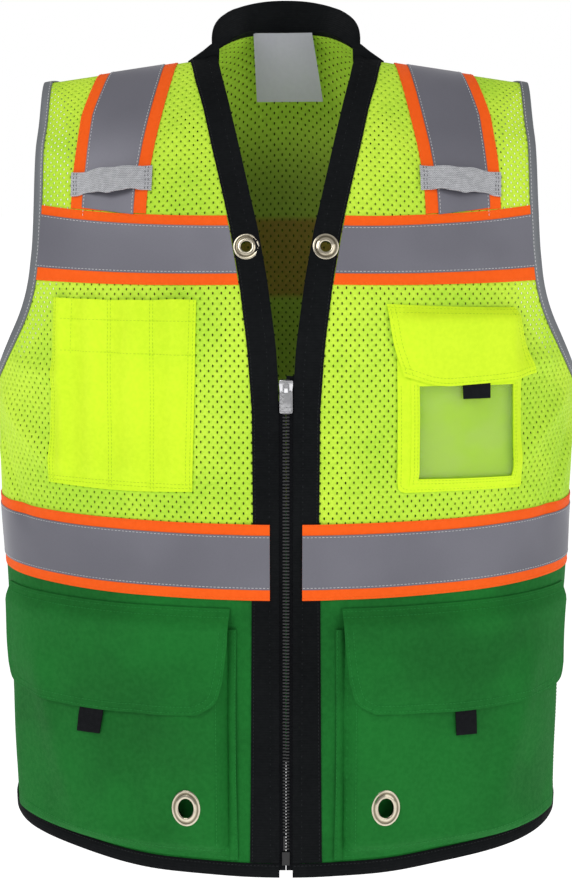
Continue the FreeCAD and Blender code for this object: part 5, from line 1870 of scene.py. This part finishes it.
@dataclass
class BackPanel:
    """Back of the vest: mesh, lower cloth, bands, tapes, bindings, collar, label."""

    tape_levels: tuple[float, float, float, float] = (1.2, 1.85, 1.9, 2.4)
    split: float = -183.0
    label_corners: tuple[tuple[float, float, float], ...] = (
        (-30.0, 41.5, 27.6), (24.0, 46.0, 28.2), (34.8, 70.0, -34.5), (-27.3, 70.0, -34.9))

    def __post_init__(self) -> None:
        """Work out where the front's shoulder line lands on the back pattern."""
        self.ride = Carry("back")
        self.top = BACK.top - SEAM
        self.neck = 62.0
        self.scoop = smooth_line([(0.0, 10.5), (14.0, 16.5), (27.0, 28.0), (36.0, 46.0), (44.0, 63.0), (54.0, self.top)],
                                 40)
        x = self.front_x(229.0)
        self.arm: Points = [(self.width_at(x), self.top), (self.width_at(206.0), -8.0), (self.width_at(204.0), -60.0),
                            (self.width_at(205.0), -110.0), (self.width_at(209.0), -160.0),
                            (self.width_at(216.0), -200.0), (self.width_at(226.0), -235.0),
                            (self.width_at(240.0), -262.0), (self.width_at(254.0), -277.0), (BACK.side, -283.0)]

    @staticmethod
    def width_at(x: float) -> float:
        """Pattern width of the back at distance x from the middle."""
        return float(np.interp(math.asin(max(-1.0, min(1.0, x / 265.0))), BACK.angles, BACK.girth_run))

    @staticmethod
    def front_x(p: float) -> float:
        """Distance from the middle of pattern width p on the front."""
        return 265.0 * math.sin(float(FRONT.angle(np.array([p]))[0]))

    def neck_line(self, p: float) -> float:
        """Height of the back neck seam."""
        return float(np.interp(abs(p), [a for a, _ in self.scoop], [b for _, b in self.scoop]))

    def outline(self, high: bool) -> Points:
        """Outline of the upper (above the split) or lower mesh panel."""
        arm = [(p - 1.5, q) for p, q in smooth_line(self.arm, 40)]
        arm[-1] = (BACK.side - SEAM, -284.5)
        if high:
            low = self.split - 9.0
            arm = [a for a in arm if a[1] > low]
            arm.append((along([(p - 1.5, q) for p, q in self.arm], low), low))
            neck = [(self.neck * k / 30.0, self.neck_line(self.neck * k / 30.0)) for k in range(-30, 31)]
            return neck + arm + [(-p, q) for p, q in reversed(arm)]
        high_q = self.split + 9.0
        arm = [(along([(p - 1.5, q) for p, q in self.arm], high_q), high_q)] + [a for a in arm if a[1] < high_q]
        right = arm + [(BACK.side - SEAM, -430.0)]
        return right + [(-p, q) for p, q in reversed(right)]

    def build(self, bench: Bench) -> None:
        """Make the whole back."""
        f, sew, perforator = bench.finishes, bench.sewing, bench.perforator
        # the inner faces of the back's mesh take a finish with painted shade: darker towards the waist, with a brown
        # strip painted at the tapes' height
        upper = perforator.panel("back_knit_upper", BACK, self.outline(True), f.mesh_back_shaded,
                                 reach=(self.split, 1000.0), inner=f.mesh_inside_shaded)
        dress(upper, f.mesh_back_shaded, self.ride, ["back_mesh"])
        lower = perforator.panel("back_knit_lower", BACK, self.outline(False), f.mesh_back_shaded,
                                 reach=(-1000.0, self.split), inner=f.mesh_inside_shaded)
        dress(lower, f.mesh_back_shaded, self.ride)
        # dark sheets inside the back's mesh, seen through its holes: painted shade, not a layer of the real vest
        for name, high in (("back_shade_upper", True), ("back_shade_lower", False)):
            loop = [(p, min(q, self.split) if not high else max(q, self.split)) for p, q in self.outline(high)]
            shade = sheet(name, BACK, loop, 0.42, 0.58, step=9.0)
            dress(shade, f.shade, self.ride)
        e = BACK.side - SEAM
        hem = row(lambda p: hem_back(p) + 2.0, e, -e, 41)
        dress(sheet("back_green", BACK, [(-e, -431.0), (e, -431.0)] + hem, 0.0, 1.0, step=12.0), f.green, self.ride,
              ["back_lower"])
        a, b, c, d = self.tape_levels
        front_e = FRONT.side
        for key, top, low in (("chest_orange", -149.0, -218.0), ("chest_silver", -159.5, -207.5),
                              ("waist_orange", WAIST[0](front_e), WAIST[3](front_e)),
                              ("waist_silver", WAIST[1](front_e), WAIST[2](front_e))):
            if key.startswith("chest"):
                wt, wl = along(self.arm, top) - 9.4, along(self.arm, low) - 9.4
            else:
                wt = wl = e
            silver = key.endswith("silver")
            lo, hi = (c, d) if silver else (a, b)
            loop = row(lambda p: top, wt, -wt, 41) + row(lambda p: low, -wl, wl, 41)
            piece = sheet("back_" + key.replace("orange", "backing").replace("silver", "tape"), BACK, loop, lo, hi,
                          step=7.0)
            dress(piece, f.silver if silver else f.orange, self.ride, ["back_" + key])
            for q, w in ((top - 1.7, wt), (low + 1.7, wl)):
                sew.seam(self.ride, "white" if silver else "orange", BACK, [(-w + 2, q), (w - 2, q)], hi + 0.12)
        self.build_shoulders(bench)
        line = row(hem_back, -e, e, 80)
        dress(folded_binding("back_hem_tape", BACK, line, 1, 1, 12.0), f.black, self.ride, ["back_hem_binding"])
        sew.seam(self.ride, "black", BACK, row(lambda p: hem_back(p) + 10.2, -e, e, 80), 2.6)
        self.build_collar(bench)
        self.build_label(bench)

    def build_label(self, bench: Bench) -> None:
        """Plain satin label that hangs flat from the neck seam."""
        u, v = np.meshgrid(np.linspace(0.0, 1.0, 15), np.linspace(0.0, 1.0, 17))
        corners = np.array(self.label_corners)
        top = corners[0] + (corners[1] - corners[0]) * u[..., None]
        low = corners[3] + (corners[2] - corners[3]) * u[..., None]
        grid = top + (low - top) * v[..., None]
        grid[..., 1] += 5.0 * (1 - (2 * u - 1) ** 2) * (1 - v) + 1.2 * np.sin(v * 5.0 + u * 2.0) * v
        m, n = u.shape
        verts = np.vstack([grid.reshape(-1, 3), (grid + [0.0, 0.5, 0.0]).reshape(-1, 3)]) * MM
        faces: list[tuple[int, ...]] = []
        for i in range(m - 1):
            for j in range(n - 1):
                a = i * n + j
                faces += [(a, a + n, a + n + 1, a + 1), (a + m * n, a + m * n + 1, a + m * n + n + 1, a + m * n + n)]
        rim = [j for j in range(n)] + [i * n + n - 1 for i in range(1, m)]
        rim += [(m - 1) * n + j for j in range(n - 2, -1, -1)] + [i * n for i in range(m - 2, 0, -1)]
        faces += [(a, b, b + m * n, a + m * n) for a, b in zip(rim, rim[1:] + rim[:1])]
        tag = fix_outward(new_object("neck_label_tag", verts, faces))
        set_uv(tag, np.vstack([np.stack([u.ravel(), v.ravel()], -1)] * 2) * 0.06)
        label = dress(tag, bench.finishes.label, self.ride, ["neck_label"])

    def build_shoulders(self, bench: Bench) -> None:
        """Shoulder tapes and armhole bindings of the back."""
        a, b, c, d = self.tape_levels
        f, sew = bench.finishes, bench.sewing
        x0, x1 = self.front_x(97.0), self.front_x(171.0)
        qs = (self.top, -30.0, -90.0, -148.0)
        inner = [(self.width_at(x0 + s), q) for s, q in zip((0, 4, 6, 6), qs)]
        outer = [(self.width_at(x1 + s), q) for s, q in zip((0, 4, 6, 6), qs)]
        for hand, side in (("right", -1), ("left", 1)):
            for layer, name, inset, lo, hi, finish in (("orange", "backing", 0.0, a, b, f.orange),
                                                       ("silver", "tape", 11.5, c, d, f.silver)):
                loop = [(p + inset, q) for p, q in smooth_line(inner, 20)][::-1]
                loop += [(p - inset, q) for p, q in smooth_line(outer, 20)]
                dress(sheet(f"{hand}_back_shoulder_{name}", BACK, mirrored(loop, side), lo, hi, step=6.0), finish,
                      self.ride, [f"{hand}_back_shoulder_{layer}"])
                thread = "white" if layer == "silver" else "orange"
                for edge, s in ((inner, 1), (outer, -1)):
                    line = [(p + s * (inset + 1.7), q) for p, q in smooth_line(edge, 20)]
                    sew.seam(self.ride, thread, BACK, line, hi + 0.12, side)
            line = smooth_line(self.arm, 60)
            line[-1] = (BACK.side - SEAM, -283.5)
            arm = folded_binding(hand + "_back_armhole_tape", BACK, line, -1, side, 9.2)
            dress(arm, f.grey_binding, self.ride, [hand + "_back_armhole_binding"])
            inside_line = [(p + ip * 7.6, q + iq * 7.6) for p, q, ip, iq in edge_frames(line, -1)]
            sew.seam(self.ride, "white", BACK, inside_line[:-1], 2.6, side)

    def build_collar(self, bench: Bench) -> None:
        """Padded stand collar with a rolled top edge."""
        n = 72
        angles = [-math.pi / 2 + math.pi * k / n for k in range(n + 1)]
        foot, top = [], []
        for t in angles:
            p = self.neck * math.sin(t)
            c = max(0.0, math.cos(t))
            base = BACK.plain(p, self.neck_line(p)) + BACK.normal(p, self.neck_line(p)) * 2.4
            foot.append(base + np.array([0.0, 0.5 * (1 - c), 0.5]))
            top.append(np.array([67.0 * math.sin(t), 61.0 * c ** 0.9 + 0.6, 17.0 + 41.0 * c ** 0.7]))
        foot_a, top_a = np.array(foot), np.array(top)
        rows = []
        for k in range(n + 1):
            path = foot_a[min(n, k + 1)] - foot_a[max(0, k - 1)]
            up = top_a[k] - foot_a[k]
            face = np.cross(path, up)
            face /= np.linalg.norm(face)
            tall = np.linalg.norm(up)
            section = []
            for s, w in ((-0.16, 0.9), (0.12, 1.3), (0.3, 1.7), (0.5, 1.8), (0.7, 1.7), (0.84, 1.35), (0.92, 1.75),
                         (0.975, 1.5), (1.0, 0.6), (1.0, -0.6), (0.975, -1.5), (0.92, -1.75), (0.84, -1.35),
                         (0.7, -1.7), (0.5, -1.8), (0.3, -1.7), (0.12, -1.3), (-0.16, -0.9)):
                point = foot_a[k] + up * s + face * w * (0.55 + 0.45 * min(1.0, tall / 25.0))
                point[1] = max(point[1], 0.25)
                section.append(point * MM)
            rows.append(section)
        piece = fix_outward(loft("stand_collar", np.array(rows), sharp=80.0))
        dress(piece, bench.finishes.black, self.ride, ["collar_band"])
        line = [(self.neck * k / 40.0, self.neck_line(self.neck * k / 40.0)) for k in range(-40, 41)]
        frames = edge_frames(line, -1)
        high = [(p - 2.2 * a, min(q - 2.2 * b, self.top)) for p, q, a, b in frames]
        wide = [3.0 + 9.0 * float(ease((abs(p) - 22.0) / 22.0)) for p, _, _, _ in frames]
        low = [(p + w * a, q + w * b) for (p, q, a, b), w in zip(frames, wide)]
        tape = sheet("collar_neck_tape", BACK, high + low[::-1], -0.9, -0.2, step=3.0)
        dress(tape, bench.finishes.black, self.ride)
        for hand, side in (("right", -1), ("left", 1)):
            rows = []
            for t in np.linspace(0.0, 1.0, 14):
                foot_x, top_x = 60.5 + 28.0 * t, 60.0 + 28.5 * t
                low = 0.15 * (84.0 - foot_x) - 2.5
                high = float(np.interp(t, (0.0, 0.245, 0.526, 1.0), (18.0, 17.0, 10.5, 1.2)))
                rows.append([(side * (foot_x + (top_x - foot_x) * s) * MM, y * MM, (low + (high - low) * s) * MM)
                             for s, y in ((0.0, 0.2), (0.5, 0.05), (0.9, 0.3), (1.0, 0.8), (1.0, 2.0), (0.9, 2.5),
                                          (0.5, 2.8), (0.0, 2.6))])
            wing = fix_outward(loft(hand + "_collar_end", np.array(rows), sharp=80.0))
            dress(wing, bench.finishes.black, self.ride)


# ------------------------------------------------------------------------- studio
@dataclass
class Studio:
    """Camera, soft lights and a plain pale floor."""

    distance: float = 1.9
    pitch: float = 9.0
    aim: float = -0.345
    lens: float = 83.67

    def build(self) -> None:
        """Make the stage."""
        t = math.radians(self.pitch)
        camera = bpy.data.cameras.new("camera")
        camera.lens = self.lens
        camera.sensor_width = 36.0
        eye = bpy.data.objects.new("camera", camera)
        eye.location = (0.0, -self.distance * math.cos(t), self.aim + self.distance * math.sin(t))
        eye.rotation_euler = (math.radians(90.0) - t, 0.0, 0.0)
        bpy.context.scene.collection.objects.link(eye)
        bpy.context.scene.camera = eye
        self.light("key", (-1.3, -2.0, 1.5), 1.6, 26.0)
        self.light("fill", (1.7, -1.8, 0.4), 1.8, 12.0)
        self.light("rim", (0.3, 1.8, 1.6), 1.8, 6.0)
        world = bpy.data.worlds.new("studio")
        world.use_nodes = True
        back = world.node_tree.nodes["Background"]
        back.inputs["Color"].default_value = (1.0, 1.0, 1.0, 1.0)
        seen = world.node_tree.nodes.new("ShaderNodeLightPath")
        level = world.node_tree.nodes.new("ShaderNodeMapRange")
        level.inputs["To Min"].default_value = 0.42
        level.inputs["To Max"].default_value = 1.0
        world.node_tree.links.new(seen.outputs["Is Camera Ray"], level.inputs["Value"])
        world.node_tree.links.new(level.outputs[0], back.inputs["Strength"])
        bpy.context.scene.world = world
        bpy.context.scene.view_settings.view_transform = "Standard"
        r = 30.0
        floor = new_object("floor", [(-r, -r, -1.6), (r, -r, -1.6), (r, r, -1.6), (-r, r, -1.6)], [(0, 1, 2, 3)])
        pale = NodeBench("pale_floor")
        tone = pale.noise(pale.place(), 3.0).span(0.0, 1.0)
        pale.set(Base_Color=pale.mix(tone, (0.93, 0.93, 0.93), (0.9, 0.9, 0.9)), Roughness=0.9,
                 Emission_Color=pale.mix(tone, (1.0, 1.0, 1.0), (0.98, 0.98, 0.98)), Emission_Strength=0.72)
        floor.data.materials.append(pale.material)

    def light(self, name: str, place: tuple[float, float, float], size: float, power: float) -> None:
        """Add a large square light that faces the vest."""
        lamp = bpy.data.lights.new(name, "AREA")
        lamp.size, lamp.energy = size, power
        obj = bpy.data.objects.new(name, lamp)
        obj.location = place
        obj.rotation_euler = (Vector((0.0, 0.0, self.aim)) - Vector(place)).to_track_quat("-Z", "Y").to_euler()
        bpy.context.scene.collection.objects.link(obj)


def main() -> None:
    """Build the vest and its stage."""
    logging.basicConfig(level=logging.INFO, format="%(name)s: %(message)s")
    Studio().build()
    bench = Bench(Wardrobe(), Sewing(), Perforator(), ChainMaker())
    for side in (-1, 1):
        FrontPanel(side).build(bench)
        CargoPocket(side).build(bench)
    PenPocket().build(bench)
    CardPocket().build(bench)
    ZipFastener().build(bench)
    BackPanel().build(bench)
    bench.sewing.lay(bench.finishes)


if __name__ == "__main__":
    main()
